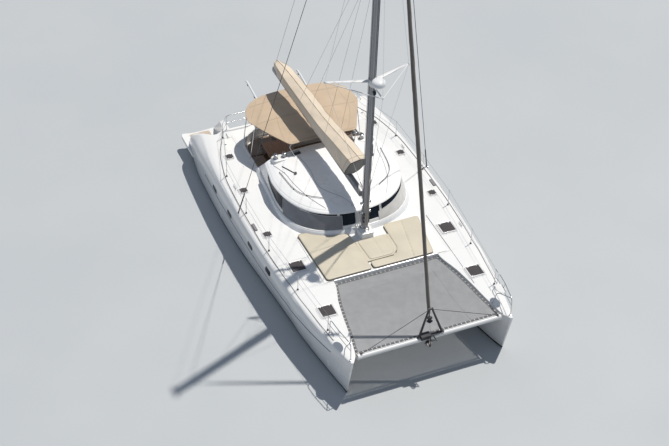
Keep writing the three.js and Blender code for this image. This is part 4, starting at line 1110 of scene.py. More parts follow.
def keep(name, finish, bevel):
    """A solid from the frame in its own finish, its edges welded and softened."""
    made = bpy.data.objects[name]
    made.data.materials.clear()
    made.data.materials.append(PAINT[finish])
    weld = made.modifiers.new("weld", "WELD")
    weld.merge_threshold = 0.0002
    softened(made, bevel, degrees=30)


# Hatches and engine lids

def lids():
    for i, (x, y, size) in enumerate(HATCHES, 1):
        hatch(i, x, y, size)
    for name, _ in SIDES:
        keep(f"engine_lid_{name}", "deck", 0.006)
    ring = [(0.034, 0.0), (0.034, 0.003), (0.026, 0.004), (0.024, 0.0005), (0.004, 0.0005)]
    latch = Form().lathe(ring, (-4.6, 2.66, DECK + 0.006), 20)
    pair("engine_lid_latch", latch, "steel", body="engine_lid")


def hatch(i, x, y, size):
    """A square lid: a rounded frame, a tinted pane, the seal below and hinges along its forward edge."""
    low, high, under = DECK + 0.025, DECK + 0.045, DECK + 0.0225
    wide = 0.045 if size > 0.5 else 0.022
    square, body = rounded_square(x, y, size, 0.06), f"hatch_{i}"
    section = [(-0.012, low), (0.0, low + 0.004), (0.0, high - 0.006), (-0.005, high), (-wide, high),
               (-wide - 0.006, high - 0.004), (-wide - 0.008, low)]
    rim = Form().layers(square, section, loop=True)
    pane_levels = [(-wide, low + 0.001), (-wide, high - 0.003), (-wide - 0.004, high - 0.0005)]
    pane = Form().layers(square, pane_levels)
    section = [(-0.03, low + 0.001), (-0.03, under), (-0.05, under), (-0.05, low + 0.001)]
    seal = Form().layers(square, section, loop=True)
    fittings, hinge, pin = Form(), x + size / 2, DECK + 0.04
    for at in (y - 0.28 * size, y + 0.28 * size):
        fittings.bar((hinge + 0.004, at - 0.025, pin), (hinge + 0.004, at + 0.025, pin), 0.006)
        fittings.block((hinge - 0.045, at - 0.02, high - 0.002), (hinge + 0.002, at + 0.02, high + 0.003))
        knob = [(0.022, 0.0), (0.024, 0.004), (0.018, 0.010), (0.004, 0.012)]
        fittings.lathe(knob, (x - size * 0.36, at, high - 0.002), 14)
    pair(f"hatch_{i}_frame", rim, "hatch_frame", body=body, stands_for=body)
    pair(f"hatch_{i}_pane", pane, "acrylic", slot="hatch_acrylic", body=body)
    pair(f"hatch_{i}_seal", seal, "rubber", body=body)
    pair(f"hatch_{i}_fittings", fittings, "hatch_frame", body=body)


# Engines, propellers and rudders

# The drive leg and the propeller along the shaft, and the shaft's height
LEG_X, SCREW_X, SHAFT_Z = -4.65, -4.91, -0.86


def about_shaft(x, profile):
    """Rings round the propeller's shaft: profile is (radius, distance ahead of x)."""
    return [[(x + h, KEEL_Y + r * c, SHAFT_Z + r * s) for c, s in circle(24)] for r, h in profile]


def engine():
    y = KEEL_Y
    shape = Form().prism(rounded_box(-4.98, y - 0.24, -4.22, y + 0.24, 0.08), -0.1, 0.26)
    shape.prism(rounded_box(-4.9, y - 0.17, -4.3, y + 0.17, 0.06), 0.24, 0.47)
    shape.lathe([(0.11, 0), (0.12, 0.02), (0.12, 0.09), (0.10, 0.10), (0.03, 0.11)], (-4.35, y + 0.05, 0.40))
    shape.tube([(-4.28, y, 0.30), (-4.22, y, 0.36), (-4.22, y + 0.12, 0.42), (-4.4, y + 0.2, 0.44)], 0.028)
    leg = smooth_line([(0.11, 0.055), (0.105, -0.2), (0.085, -0.5), (0.08, -0.72), (0.06, -0.84)], 4)
    shape.loft([[(LEG_X + 0.02 + r * 1.25 * c, y + r * 0.72 * s, z) for c, s in circle(24)] for r, z in leg])
    pod = [(0.012, 0.20), (0.05, 0.17), (0.082, 0.08), (0.085, -0.03), (0.07, -0.13), (0.055, -0.19)]
    shape.loft(about_shaft(LEG_X, smooth_line(pod, 4)))
    return shape.bar((-4.80, y, SHAFT_Z), (-4.97, y, SHAFT_Z), 0.0138, 16)


def propeller():
    hub = smooth_line([(0.047, 0.048), (0.046, 0.02), (0.042, -0.02), (0.030, -0.048)], 4)
    screw = Form().loft(about_shaft(SCREW_X, [(0.0175, 0.048), *hub, (0.0175, -0.048)]), loop=True)
    blade = []
    for t in np.linspace(0, 1, 12):
        radius, thick = between(0.035, 0.222, t), between(0.007, 0.0022, t)
        wide = 0.066 * math.sin(math.pi * min(1, 0.22 + 0.78 * t ** 0.8)) ** 0.55 + 0.008
        pitch = math.atan2(0.09, radius) * 0.9
        ahead, across = math.sin(pitch), math.cos(pitch)
        section = [(c * wide, s * thick) for c, s in circle(16)]
        blade.append([Vector((SCREW_X + u * ahead + v * across, u * across - v * ahead, radius))
                      for u, v in section])
    for k in range(3):
        turn = Matrix.Rotation(k * TAU / 3, 3, "X")
        screw.loft([[Vector((p.x, KEEL_Y, SHAFT_Z)) + turn @ Vector((0, p.y, p.z)) for p in ring]
                    for ring in blade])
    return screw


def rudder():
    foil = [(0.0, 0.0), (0.03, 0.55), (0.12, 0.88), (0.3, 1.0), (0.55, 0.78), (0.8, 0.38), (1.0, 0.03)]
    levels = [(-0.392, -5.49, -5.97, 0.042), (-0.42, -5.482, -5.98, 0.045), (-0.8, -5.50, -5.95, 0.040),
              (-1.05, -5.525, -5.895, 0.031), (-1.13, -5.55, -5.86, 0.022), (-1.15, -5.585, -5.83, 0.012)]
    blade = Form().fin(smooth_line(foil, 4), levels, RUDDER_Y)
    return blade.bar((-5.65, RUDDER_Y, -0.5), (-5.65, RUDDER_Y, 0.04), 0.0315, 20)


def drives():
    pair("engine_and_leg", engine(), "engine", stands_for="engine", slot="engine_paint", bevel=0.006)
    pair("propeller_blades", propeller(), "bronze", body="propeller", stands_for="propeller", slot="bronze")
    pair("rudder_blade", rudder(), "bottom", body="rudder", stands_for="rudder", slot="antifouling")


# Cockpit and helm

# Opposite corners of what is cut away ahead of the bench: its port end, the way to the door and between
BENCH_CUTS = (((-3.9, -0.5, 0.5), (0, 2.5, 2)), ((-2.7, -2.5, 0.5), (0, 2.5, 2)),
              ((-3.9, -0.6, 0.5), (-2.0, 2.5, 2)))
# Each bench pad's outline and its seams
BENCH_PADS = (
    ("aft", [(-4.98, 0.9), (-4.98, -0.9), (-4.5, -0.75), (-4.5, 0.75)], ()),
    ("port", [(-4.94, 0.95), (-4.46, 0.8), (-4.46, 1.42), (-3.95, 1.46), (-3.95, 1.97), (-4.6, 1.82),
              (-4.86, 1.45)], ()),
    ("corner", [(-4.94, -0.95), (-4.46, -0.8), (-4.46, -1.40), (-3.95, -1.45), (-3.95, -1.97), (-4.6, -1.82),
                (-4.86, -1.45)], ()),
    ("side", [(-3.9, -1.5), (-2.76, -1.5), (-2.76, -1.98), (-3.9, -1.98)],
     [(((-3.73, -1.74), (-2.93, -1.74)), 0.012, 0.016)]))


def cushion_piece(name, shape):
    piece(name, shape, "cushion", slot="cushion")


def cockpit():
    base = Form().prism(cockpit_outline(0.006), SOLE + 0.001, 1.33)
    feet = Form().prism(cockpit_outline(0.56), SOLE - 0.1, 1.6)
    away = [feet, *[Form().block(*corners) for corners in BENCH_CUTS]]
    piece("cockpit_bench", carved(base, away, 30), "moulding", stands_for="cockpit_seat", slot="gelcoat",
          bevel=0.02, segments=3)
    sole = Form().prism(cockpit_outline(0.02), SOLE + 0.001, SOLE + 0.006)
    piece("cockpit_sole_teak", sole, "teak_sole", slot="teak")
    for name, outline, seams in BENCH_PADS:
        shape = Form().cushion(rounded_line(outline, 0.09, 5, True), 1.332, 1.42, seams=seams)
        cushion_piece(f"bench_pad_{name}", shape)
    top = rounded_box(-4.3, -1.42, -3.0, -0.42, 0.09)
    table = Form().layers(top, [(-0.012, 1.563), (0, 1.572), (0, 1.592), (-0.008, 1.6)])
    table.prism(rounded_box(-3.95, -1.1, -3.35, -0.74, 0.05, 4), 1.54, 1.566, 1)
    leg = [(0.14, 0.001), (0.14, 0.02), (0.07, 0.05), (0.058, 0.09), (0.056, 0.65)]
    table.lathe([(r, SOLE + h) for r, h in leg], (-3.65, -0.92, 0), 28, 1)
    piece("cockpit_table_top", table, "teak_along moulding", stands_for="cockpit_table", slot="teak")


WHEEL_HUB = Vector((-2.9, 1.66, 1.9))


def helm():
    side = [(-2.262, SOLE + 0.002), (-2.262, 1.99), (-2.60, 2.01), (-2.70, 1.90), (-2.775, 1.74),
            (-2.76, 1.2), (-2.70, SOLE + 0.002)]
    console = Form().plate(rounded_line(side, 0.05, 5), (1.28, 1.30, 1.97, 1.99))
    console.bar((-2.60, 1.66, 1.9), (-2.94, 1.66, 1.9), 0.0215, 18, 1)
    facing = Vector((1.74 - 1.90, 0, -2.70 + 2.775)).normalized()
    for y in (1.36, 1.49):
        dial = Vector((-2.742, y, 1.81))
        console.lathe([(0.052, -0.005), (0.054, 0.004), (0.046, 0.008)], dial, 24, 1, facing)
        console.lathe([(0.044, 0.003), (0.043, 0.0088)], dial, 24, 2, facing)
    piece("helm_pedestal", console, "moulding steel glass", stands_for="helm_console", slot="gelcoat",
          bevel=0.008)
    levers = Form().lathe([(0.05, -0.002), (0.05, 0.03), (0.03, 0.045)], (-2.66, 1.90, 1.955), 18)
    for dy in (-0.03, 0.03):
        stick = [(-2.66, 1.90 + dy, 1.98), (-2.665, 1.90 + dy * 1.4, 2.05), (-2.69, 1.90 + dy * 1.5, 2.12)]
        levers.tube(stick, [0.008, 0.007, 0.012])
    piece("engine_levers", levers, "dark_rail")
    rim = [WHEEL_HUB + Vector((0, 0.36 * c, 0.36 * s)) for c, s in circle(72)]
    wheel = Form().tube(rim, 0.0135, 12, loop=True)
    for k in range(6):
        out = Vector((0, math.cos(k * TAU / 6), math.sin(k * TAU / 6)))
        dish = WHEEL_HUB + out * 0.2 + Vector((0.012, 0, 0))
        wheel.tube([WHEEL_HUB + out * 0.03, dish, WHEEL_HUB + out * 0.352], 0.0075)
    boss = ((0.0245, 0.02), (0.046, 0.018), (0.05, 0.006), (0.05, -0.008), (0.044, -0.018), (0.0245, -0.02))
    wheel.loft([[WHEEL_HUB + Vector((h, r * c, r * s)) for c, s in circle(28)] for r, h in boss], loop=True)
    piece("steering_wheel", wheel, "steel", body="wheel", stands_for="helm_wheel", slot="stainless")


def helm_seat():
    seat = Form().prism(rounded_box(-3.70, 1.50, -3.50, 1.76, 0.06, 4), SOLE + 0.001, 1.44)
    tray = rounded_box(-3.85, 1.335, -3.405, 1.925, 0.07)
    seat.layers(tray, [(-0.03, 1.41), (-0.004, 1.43), (-0.004, 1.452), (-0.012, 1.458)])
    for y in (1.42, 1.84):
        seat.tube(rounded_line([(-3.83, y, 1.44), (-3.852, y, 1.6), (-3.85, y, 1.75)], 0.05, 4), 0.014, 10, 1)
    piece("helm_seat_base", seat, "moulding steel", stands_for="helm_seat", slot="gelcoat")
    seam = (((-3.84, 1.63), (-3.42, 1.63)), 0.008, 0.012)
    cushion_piece("helm_seat_pad", Form().cushion(grown(tray, -0.02), 1.459, 1.515, 0.03, seams=[seam]))
    back = Form().cushion(rounded_box(1.345, 1.55, 1.915, 1.815, 0.07), 0.0, 0.058, 0.03, 0.026, 0.01)
    cushion_piece("helm_seat_back", back.moved(lambda p: Vector((-3.846 + p.z, p.x, p.y))))


# Canopy over the cockpit

# The canopy's height along its middle and at its widest place, half its width there, and its outline aft
CANOPY_CROWN, CANOPY_EDGE, CANOPY_WIDE = 3.225, 3.08, 2.06
CANOPY_AFT = [(-3.8, 2.06), (-4.25, 2.01), (-4.62, 1.83), (-4.88, 1.50), (-5.01, 1.08), (-5.04, 0.40)]
# The three bows: x, half the length of the sleeve and of the bow, and its port foot
BOWS = ((-2.06, 1.12, 1.2, (-1.88, 1.11, 2.722)), (-3.55, 1.86, 1.9, (-3.55, 2.11, 1.676)),
        (-4.56, 1.76, 1.8, (-4.56, 1.99, 1.676)))
CANOPY_SEAMS = ([(-4.8, -1.41), (-4.4, -1.65), (-3.96, -1.91)],
                [(-3.71, -1.08), (-3.11, -1.21), (-2.3, -1.33)],
                [(-4.47, 1.58), (-3.48, 1.57), (-2.74, 1.31), (-2.04, 0.92)],
                [(-4.17, 1.38), (-2.96, 0.72), (-2.28, 0.36)], [(-2.11, -1.22), (-2.11, 0.0), (-2.11, 1.22)])


def canopy_plan():
    front = rounded_line([(-2.0, 0.0), (-2.0, 1.23), (-2.9, 1.65)], 0.12, 6)[1:]
    half = [*front, (-3.35, 1.87), *smooth_line(CANOPY_AFT, 8)]
    return [*half, *[(x, -y) for x, y in half[::-1]]]


def canopy_height(points):
    x, y = np.array(points, float).T
    arch = CANOPY_CROWN + (CANOPY_EDGE - CANOPY_CROWN) * (y / CANOPY_WIDE) ** 2
    bows = sorted(bow[0] for bow in BOWS)
    gap = np.zeros(len(x))
    for a, b in zip(bows, bows[1:]):
        t = (x - a) / (b - a)
        gap += np.where((t > 0) & (t < 1), np.sin(np.pi * np.clip(t, 0, 1)) ** 2, 0)
    aft = np.clip((bows[0] - x) / 0.5, 0, 1)
    wrinkle = 0.004 * np.sin(x * 11 + 2 * np.sin(y * 3)) * np.sin(y * 5 + x)
    wrinkle += 0.003 * np.sin(y * 17 + x * 4) * gap
    return arch - 0.030 * gap - 0.035 * aft ** 1.5 + wrinkle - 0.004


def on_canopy(line, lift):
    return raised(line, canopy_height(line) + lift)


def canopy():
    plan = spaced(canopy_plan(), 0.09, True)
    points, faces = filled(plan, 0.09)
    top, total = canopy_height(points), len(points)
    skin = both_faces(faces, total) + walls(list(range(len(plan))), total)
    cloth = Form().patch(raised(points, top) + raised(points, top - 0.006), skin)
    made = piece("canopy_cloth", cloth, "canopy", stands_for="bimini", slot="canopy_fabric")
    roll = Form().tube(raised(grown(plan, -0.004), canopy_height(plan) - 0.012), 0.013, 10, loop=True)
    rolled = piece("canopy_edge", roll, "canopy_edge")
    straps = Form()
    for x, half, _, _ in BOWS:
        straps.tube(on_canopy([(x, y) for y in np.linspace(-half, half, 41)], -0.002), 0.005, 6, flat=8.0)
    for line in CANOPY_SEAMS:
        straps.tube(on_canopy(smooth_line(line, 8), 0.0005), 0.0035, 6, flat=4.0)
    sleeves = piece("canopy_sleeves", straps, "canopy_edge")
    bows = Form()
    for x, _, half, foot in BOWS:
        arch = on_canopy([(x, y) for y in np.linspace(-half, half, 33)], -0.026)
        end = (x, half + 0.05, arch[0][2] - 0.13)
        port = [foot, tuple(between(a, b, 0.6) for a, b in zip(foot, end)), end]
        starboard = [(u, -v, w) for u, v, w in port]
        bows.tube(rounded_line([*starboard, *arch[1:32:2], *port[::-1]], 0.12, 5), 0.0158, 12)
        for at in (starboard[0], foot):
            bows.lathe([(0.034, -0.004), (0.034, 0.004), (0.022, 0.010), (0.0165, 0.03)], at, 16)
    for y in (-0.9, 0.9):
        bows.tube(on_canopy([(x, y) for x in np.linspace(BOWS[0][0], BOWS[2][0], 21)], -0.05), 0.0115)
    piece("canopy_bows", bows, "steel", stands_for="bimini_frame", slot="stainless")


# Foredeck pads, net, crossbeam and striker

PAD_LOW, PAD_HIGH = 1.694, 1.772


def clear_of_cabin(outline):
    """The outline cut back so that it lies outside the cabin's foot."""
    foot = np.array([p[:2] for p in wall_line(1.72, 0.085, 96)])
    cabin = np.vstack([foot, [(-4, -2.2), (-4, 2.2)]])
    within = inside(np.array(outline), cabin)
    return [tuple(foot[np.argmin(np.linalg.norm(foot - p, axis=1))]) if p[0] < 1.56 and hidden else tuple(p)
            for p, hidden in zip(np.array(outline), within)]


# Each sun pad's outline, and its seams as (line, depth, width)
SUN_PADS = {
    "starboard": ([(0.93, -2.15), (3.37, -2.08), (3.37, -0.50), (1.80, -0.52), (1.50, -0.60), (1.30, -1.0),
                   (1.0, -1.6)],
                  [([(2.15, -2.13), (2.15, -0.5)], 0.014, 0.016),
                   ([(3.27, -2.2), (3.27, -0.4)], 0.008, 0.012)]),
    "port": ([(1.50, 0.73), (1.49, 2.03), (3.37, 1.73), (3.37, -0.42), (3.05, -0.42), (3.05, 0.50),
              (2.73, 0.70), (1.72, 0.72)],
             [([(1.50, 1.37), (3.37, 1.02)], 0.020, 0.020), ([(3.27, -0.5), (3.27, 1.8)], 0.008, 0.012)]),
    "centre": ([(1.975, -0.42), (2.95, -0.38), (2.95, 0.44), (2.68, 0.60), (1.975, 0.62)],
               [([(1.9, 0.10), (3.0, 0.12)], 0.010, 0.014)])}


def sun_pads():
    for name, (outline, seams) in SUN_PADS.items():
        plan = clear_of_cabin(spaced(rounded_line(outline, 0.10, 5, True), 0.04, True))
        shape = Form().cushion(plan, PAD_LOW, PAD_HIGH, 0.04, 0.035, 0.010, seams, ripple=0.0018)
        made = piece(f"sun_pad_{name}_cover", shape, "pad", stands_for=f"sun_pad_{name}", slot="cushion")
        rim, piping = spaced(plan, 0.05, True), Form()
        for by, z in ((0.002, PAD_LOW + 0.012), (-0.006, PAD_HIGH - 0.010)):
            piping.tube([(x, y, z) for x, y in grown(rim, by)], 0.0045, 6, loop=True)
        # A dark band round each pad's sides: painted shade along the pad's edge and underside.
        piping.layers(rim, [(0.009, PAD_LOW + 0.003), (0.009, PAD_HIGH - 0.034)], 1)
        piece(f"sun_pad_{name}_piping", piping, "piping pad_skirt")
    bed = [(1.98, -0.505), (3.0, -0.505), (3.0, 0.45), (2.75, 0.70), (1.98, 0.72)]
    piece("sun_pad_bed", Form().prism(bed, PAD_LOW + 0.002, PAD_LOW + 0.055), "pad", slot="cushion")


# The net's half width at each x, its ends and its height
NET_HALF = [(3.44, 1.85), (4.40, 2.10), (5.20, 2.25), (5.90, 2.36), (6.40, 2.46), (6.64, 2.49)]
NET_AFT, NET_FORE, NET_TOP = 3.44, 6.64, 1.575


def net_half(x):
    xs, ys = zip(*NET_HALF)
    return float(steady(np.array(xs), np.array(ys), x))


def net_drop(x, y):
    """The net's sag under its own weight, held along its laced edges."""
    across = max(0.0, 1 - abs(y) / net_half(min(max(x, NET_AFT), NET_FORE)))
    ends = max(0.0, min(1.0, (x - NET_AFT) / 0.9, (NET_FORE - x) / 0.9))
    return 0.006 * min(1, across * 2.5) * ends


def net_start(y):
    """Where a strap that runs fore and aft leaves the net's aft edge or its slanted side."""
    if abs(y) < 1.80:
        return 3.455
    low, high = NET_AFT, NET_FORE
    for _ in range(24):
        middle = (low + high) / 2
        low, high = (low, middle) if net_half(middle) - 0.03 > abs(y) else (middle, high)
    return high


def trampoline():
    """A net of flat woven straps, one layer each way, with a roped edge laced to the boat."""
    pitch, wide, thick = 0.020, 0.0105, 0.0022
    weave = Form()

    def strap(line, across, lift):
        rings = []
        for x, y in line:
            z = NET_TOP - net_drop(x, y) + lift
            rings.append([(x + s * across[0] * wide / 2, y + s * across[1] * wide / 2, z + dz)
                          for s, dz in ((-1, 0), (1, 0), (1, -thick), (-1, -thick))])
        weave.loft(rings)

    for x in np.arange(3.46, 6.63, pitch):
        reach = net_half(x) - 0.03
        strap([(x, y) for y in np.linspace(-reach, reach, 9)], (1, 0), 0.0)
    for y in np.arange(-2.44, 2.45, pitch):
        if net_start(y) < 6.5:
            strap([(x, y) for x in np.linspace(net_start(y), 6.625, 7)], (0, 1), 0.0024)
    piece("foredeck_net", weave, "net", stands_for="trampoline", slot="net")
    edge, lacing = Form(), Form()
    rim = [(x, net_half(x) - 0.03) for x in np.linspace(3.47, 6.62, 40)]
    outline = [(3.47, 0.0), *rim, (6.62, 0.0)]
    outline += [(x, -y) for x, y in outline[::-1][1:-1]]
    rope_line = spaced(rounded_line(outline, 0.05, 4, True), 0.05, True)
    edge.tube([(x, y, NET_TOP - 0.001) for x, y in rope_line], 0.0095, 8, loop=True)
    tape = ((-0.028, 0.006), (0.028, 0.006), (0.028, -0.007), (-0.028, -0.007))
    for side in (-1, 1):
        border = [(x, side * (y - 0.035)) for x, y in rim]
        edge.loft([[(x, y + d, NET_TOP + h) for d, h in tape] for x, y in border])
    for x in (3.50, 6.585):
        reach = net_half(x) - 0.04
        edge.loft([[(x + d, y, NET_TOP + h) for d, h in tape] for y in np.linspace(-reach, reach, 9)])
    eye, tie, gap = NET_TOP + 0.002, NET_TOP + 0.008, 0.155
    for side in (-1, 1):
        for x, y in spaced([(x, side * net_half(x)) for x in np.linspace(3.5, 6.6, 30)], gap):
            lacing.bar((x, y - side * 0.068, tie), (x, y + side * 0.012, eye), 0.013, 6)
    for x0, x1, reach in ((3.436, 3.515, 1.78), (6.645, 6.57, 2.40)):
        for y in np.arange(-reach, reach, gap):
            lacing.bar((x0, y, eye), (x1, y, tie), 0.013, 6)
    piece("net_border", edge, "net_border")
    piece("net_lacing", lacing, "lacing")


# The crossbeam's centre, and half its length
BEAM_X, BEAM_Z, BEAM_HALF = 6.745, 1.56, 2.4996


def beam_ring(y, radius=0.085):
    return [(BEAM_X + radius * c, y, BEAM_Z + radius * s) for c, s in circle(40)]


def crossbeam():
    beam = Form().loft([beam_ring(y) for y in np.linspace(-BEAM_HALF, BEAM_HALF, 9)])
    beam.plate([(6.65, 1.505), (6.68, 1.505), (6.68, 1.527), (6.65, 1.527)], (-BEAM_HALF, BEAM_HALF))
    for side in (-1, 1):
        cap = ((0.088, 2.36), (0.094, 2.375), (0.094, 2.47), (0.10, 2.495))
        beam.loft([beam_ring(side * y, r) for r, y in cap])
    piece("crossbeam_tube", beam, "white_spar", stands_for="crossbeam", slot="gelcoat")
    gear = Form()
    for side in (-1, 1):
        foot, head = Vector((BEAM_X, side * 0.40, 1.644)), Vector((6.60, side * 0.055, 2.62))
        gear.bar(foot, head, 0.041, 20, 0, 0.030)
        gear.lathe([(0.075, -0.012), (0.075, 0.006), (0.055, 0.012), (0.045, 0.04)], foot)
        eye = (BEAM_X, side * 2.38, 1.642)
        gear.bar(eye, (6.60, 0, 2.62), 0.0085, 10, 1)
        gear.lathe([(0.05, -0.012), (0.05, 0.006), (0.02, 0.014), (0.013, 0.06)], eye, 18, 1)
    gear.bar((6.60, -0.085, 2.625), (6.60, 0.085, 2.625), 0.035, 20)
    piece("striker_frame", gear, "dark_paint stay_wire", stands_for="striker", slot="striker")
    roller = Form()
    cheek = [(6.60, 1.648), (7.0, 1.66), (7.055, 1.62), (7.02, 1.58), (6.60, 1.60)]
    for y in (-0.075, 0.075):
        roller.plate(rounded_line(cheek, 0.03, 4, True), (y - 0.004, y + 0.004))
    roller.bar((6.99, -0.07, 1.625), (6.99, 0.07, 1.625), 0.022, 16)
    roller.block((6.67, -0.02, 1.643), (6.82, 0.33, 1.656))
    roller.block((6.66, -0.36, 1.60), (6.87, -0.03, 1.74))
    post = [(0.045, -0.006), (0.045, 0.004), (0.02, 0.010), (0.018, 0.05), (0.03, 0.06), (0.0, 0.065)]
    for y in (-0.24, 0.24):
        roller.lathe(post, (BEAM_X, y, 1.644), 16)
    shank = [(6.64, -0.13, 1.70), (6.98, -0.13, 1.69), (7.05, -0.13, 1.60), (7.02, -0.13, 1.47)]
    roller.tube(rounded_line(shank, 0.05, 4), 0.022, flat=0.6)
    fluke = [(7.06, -0.13, 1.42), (6.90, -0.27, 1.47), (6.78, -0.13, 1.50), (6.90, 0.01, 1.47)]
    roller.loft([[(x, y, z + dz) for x, y, z in fluke] for dz in (-0.008, 0.008)])
    piece("bow_roller", roller, "dark_paint", bevel=0.002)


# Mast and standing rigging

# The mast's centre, half its length and width in section, and the heights of the shrouds' ends and its top
MAST_X, MAST_LONG, MAST_WIDE = 1.61, 0.165, 0.095
MAST_AFT = MAST_X - MAST_LONG
HOUNDS, MAST_TOP = 18.6, 20.6


def mast_ring(z, scale=1.0, grow=0.0):
    """An aerofoil section, blunt ahead and flat across its aft face."""
    ring = []
    for c, s in circle(36):
        x = MAST_LONG * scale * (c if c > 0 else -abs(c) ** 0.8) + grow * c
        y = MAST_WIDE * scale * math.copysign(abs(s) ** 0.92, s) + grow * s
        ring.append((MAST_X + x, y, z))
    return ring


WINCH_ON_MAST = [(0.062, 0.0), (0.062, 0.02), (0.048, 0.03), (0.040, 0.045), (0.040, 0.075), (0.052, 0.088),
                 (0.054, 0.108), (0.034, 0.112), (0.032, 0.120), (0.012, 0.121)]
HALYARDS = ((1.78, 0.04), (1.785, -0.02), (1.60, -0.108), (1.66, 0.104), (1.55, 0.108), (1.52, -0.11))


def mast():
    levels = ((1.927, 1.0), (8.0, 1.0), (HOUNDS, 1.0), (MAST_TOP - 0.02, 0.76), (MAST_TOP, 0.74))
    spar = Form().loft([mast_ring(z, k) for z, k in levels])
    boot = ((1.926, 0.045), (1.945, 0.045), (1.955, 0.02), (2.03, 0.012), (2.035, 0.0))
    spar.loft([mast_ring(z, 1.0, g) for z, g in boot], 1)
    spar.plate(rounded_box(1.35, 20.545, 1.81, 20.64, 0.02, 3), (-0.045, 0.045))
    for out, half, sunk in ((0.006, 0.022, 0.02), (0.013, 0.009, 0.01)):
        spar.block((MAST_AFT - out, -half, 3.4), (MAST_AFT + sunk, half, HOUNDS + 1.8), 2)
    bracket = rounded_line([(1.35, -0.034), (1.6, -0.05), (1.6, 0.05), (1.35, 0.034)], 0.03, 5, True)
    for z in (3.208, 3.05):
        spar.prism(bracket, z, z + 0.022, 1)
    spar.bar((1.385, 0, 3.04), (1.385, 0, 3.24), 0.0108, 20, 1)
    piece("mast_tube", spar, "spar steel dark_paint", stands_for="mast", slot="spar", sharp=50)
    gear = Form()
    for side, z in ((-1, 2.62), (-1, 3.02), (1, 2.62), (1, 3.02)):
        gear.lathe(WINCH_ON_MAST, Vector((MAST_X - 0.02, side * 0.080, z)), 26, 1, Vector((0, side, 0)))
    for side in (-1, 1):
        for k in range(3):
            y, z = side * 0.085, 2.25 + 0.16 * k
            gear.block((1.67, y - 0.02, z), (1.73, y + 0.02, 2.35 + 0.16 * k))
        for k in range(4):
            at = (1.50 - 0.03 * k, side * (0.05 + 0.042 * k) * 1.35, 1.965)
            gear.lathe([(0.026, -0.012), (0.026, 0.012)], at, 16, 1, (0, 1, 0.2))
    piece("mast_fittings", gear, "dark_paint steel", bevel=0.003)
    ropes = Form()
    for x, y in HALYARDS:
        ropes.bar((x, y, 2.2), (MAST_X + (x - MAST_X) * 0.9, y * 0.8, HOUNDS - 0.3), 0.006, 8)
    piece("halyards", ropes, "rope_dark")


def spreaders():
    arms, wires = Form(), Form()
    taper = ((0.0, 0.088, 0.030), (0.08, 0.078, 0.026), (0.5, 0.060, 0.021), (0.97, 0.042, 0.017),
             (1.0, 0.03, 0.013))
    for side in (-1, 1):
        root, tip = Vector((1.575, side * 0.075, 7.93)), Vector((1.2, side * 1.43, 7.97))
        arms.loft([[root.lerp(tip, t) + Vector((wide * c, 0, thick * s)) for c, s in circle(20)]
                   for t, wide, thick in taper])
        arms.bar(tip, (2.40, side * 0.02, 7.80), 0.0155, 14)
        arms.lathe([(0.03, -0.03), (0.038, -0.01), (0.038, 0.02), (0.02, 0.045)], tip, 18)
        foot, up = Vector((1.57, side * 0.115, 3.6)), Vector((0, 0, 0.02))
        wires.bar(tip + up, (1.57, side * 0.10, 15.9), 0.006, 8)
        wires.bar(tip - up, foot, 0.006, 8)
        wires.lathe([(0.018, -0.1), (0.018, 0.1)], tip.lerp(foot, 0.955), 10, 0, tip - foot)
    arms.bar((1.66, 0, 7.80), (2.42, 0, 7.80), 0.0255, 16)
    wires.bar((2.40, 0, 7.83), (1.77, 0, 15.9), 0.006, 8)
    wires.bar((2.40, 0, 7.77), (1.775, 0, 3.9), 0.006, 8)
    collar = ((7.775, 0.004), (7.79, 0.013), (7.99, 0.013), (8.005, 0.004))
    arms.loft([mast_ring(z, 1.0, g) for z, g in collar])
    piece("spreader_arms", arms, "white_spar", stands_for="spreaders", slot="spar")
    piece("diamond_wires", wires, "steel")


def radar():
    profile = [(0.0, 0.0), (0.175, 0.0), (0.2, 0.012), (0.222, 0.04), (0.225, 0.075), (0.2255, 0.082),
               (0.223, 0.086), (0.2215, 0.115), (0.206, 0.155), (0.178, 0.188), (0.13, 0.212), (0.07, 0.222),
               (0.0, 0.225)]
    dome = Form().lathe(profile, (2.06, 0, 8.06), 48)
    bracket = [(1.72, 8.04), (1.72, 8.22), (1.79, 8.20), (1.86, 8.072), (2.18, 8.058), (2.17, 8.036)]
    dome.plate(rounded_line(bracket, 0.02, 3, True), (-0.012, 0.012))
    dome.block((1.73, -0.06, 8.035), (2.18, 0.06, 8.056))
    piece("radar_dome", dome, "radar_white", stands_for="radar", slot="gelcoat")
    lamp = Form().block((1.73, -0.05, 7.58), (1.80, 0.05, 7.66))
    lamp.lathe([(0.045, 0.0), (0.05, 0.04), (0.05, 0.10), (0.03, 0.12)], (1.82, 0, 7.56), 20, 1)
    piece("mast_lamp", lamp, "dark_paint glass", bevel=0.004)


DRUM = [(0.02, -0.05), (0.045, -0.04), (0.055, 0.0), (0.098, 0.008), (0.100, 0.022), (0.06, 0.035),
        (0.055, 0.115), (0.098, 0.128), (0.100, 0.142), (0.05, 0.155), (0.02, 0.17), (0.018, 0.30)]


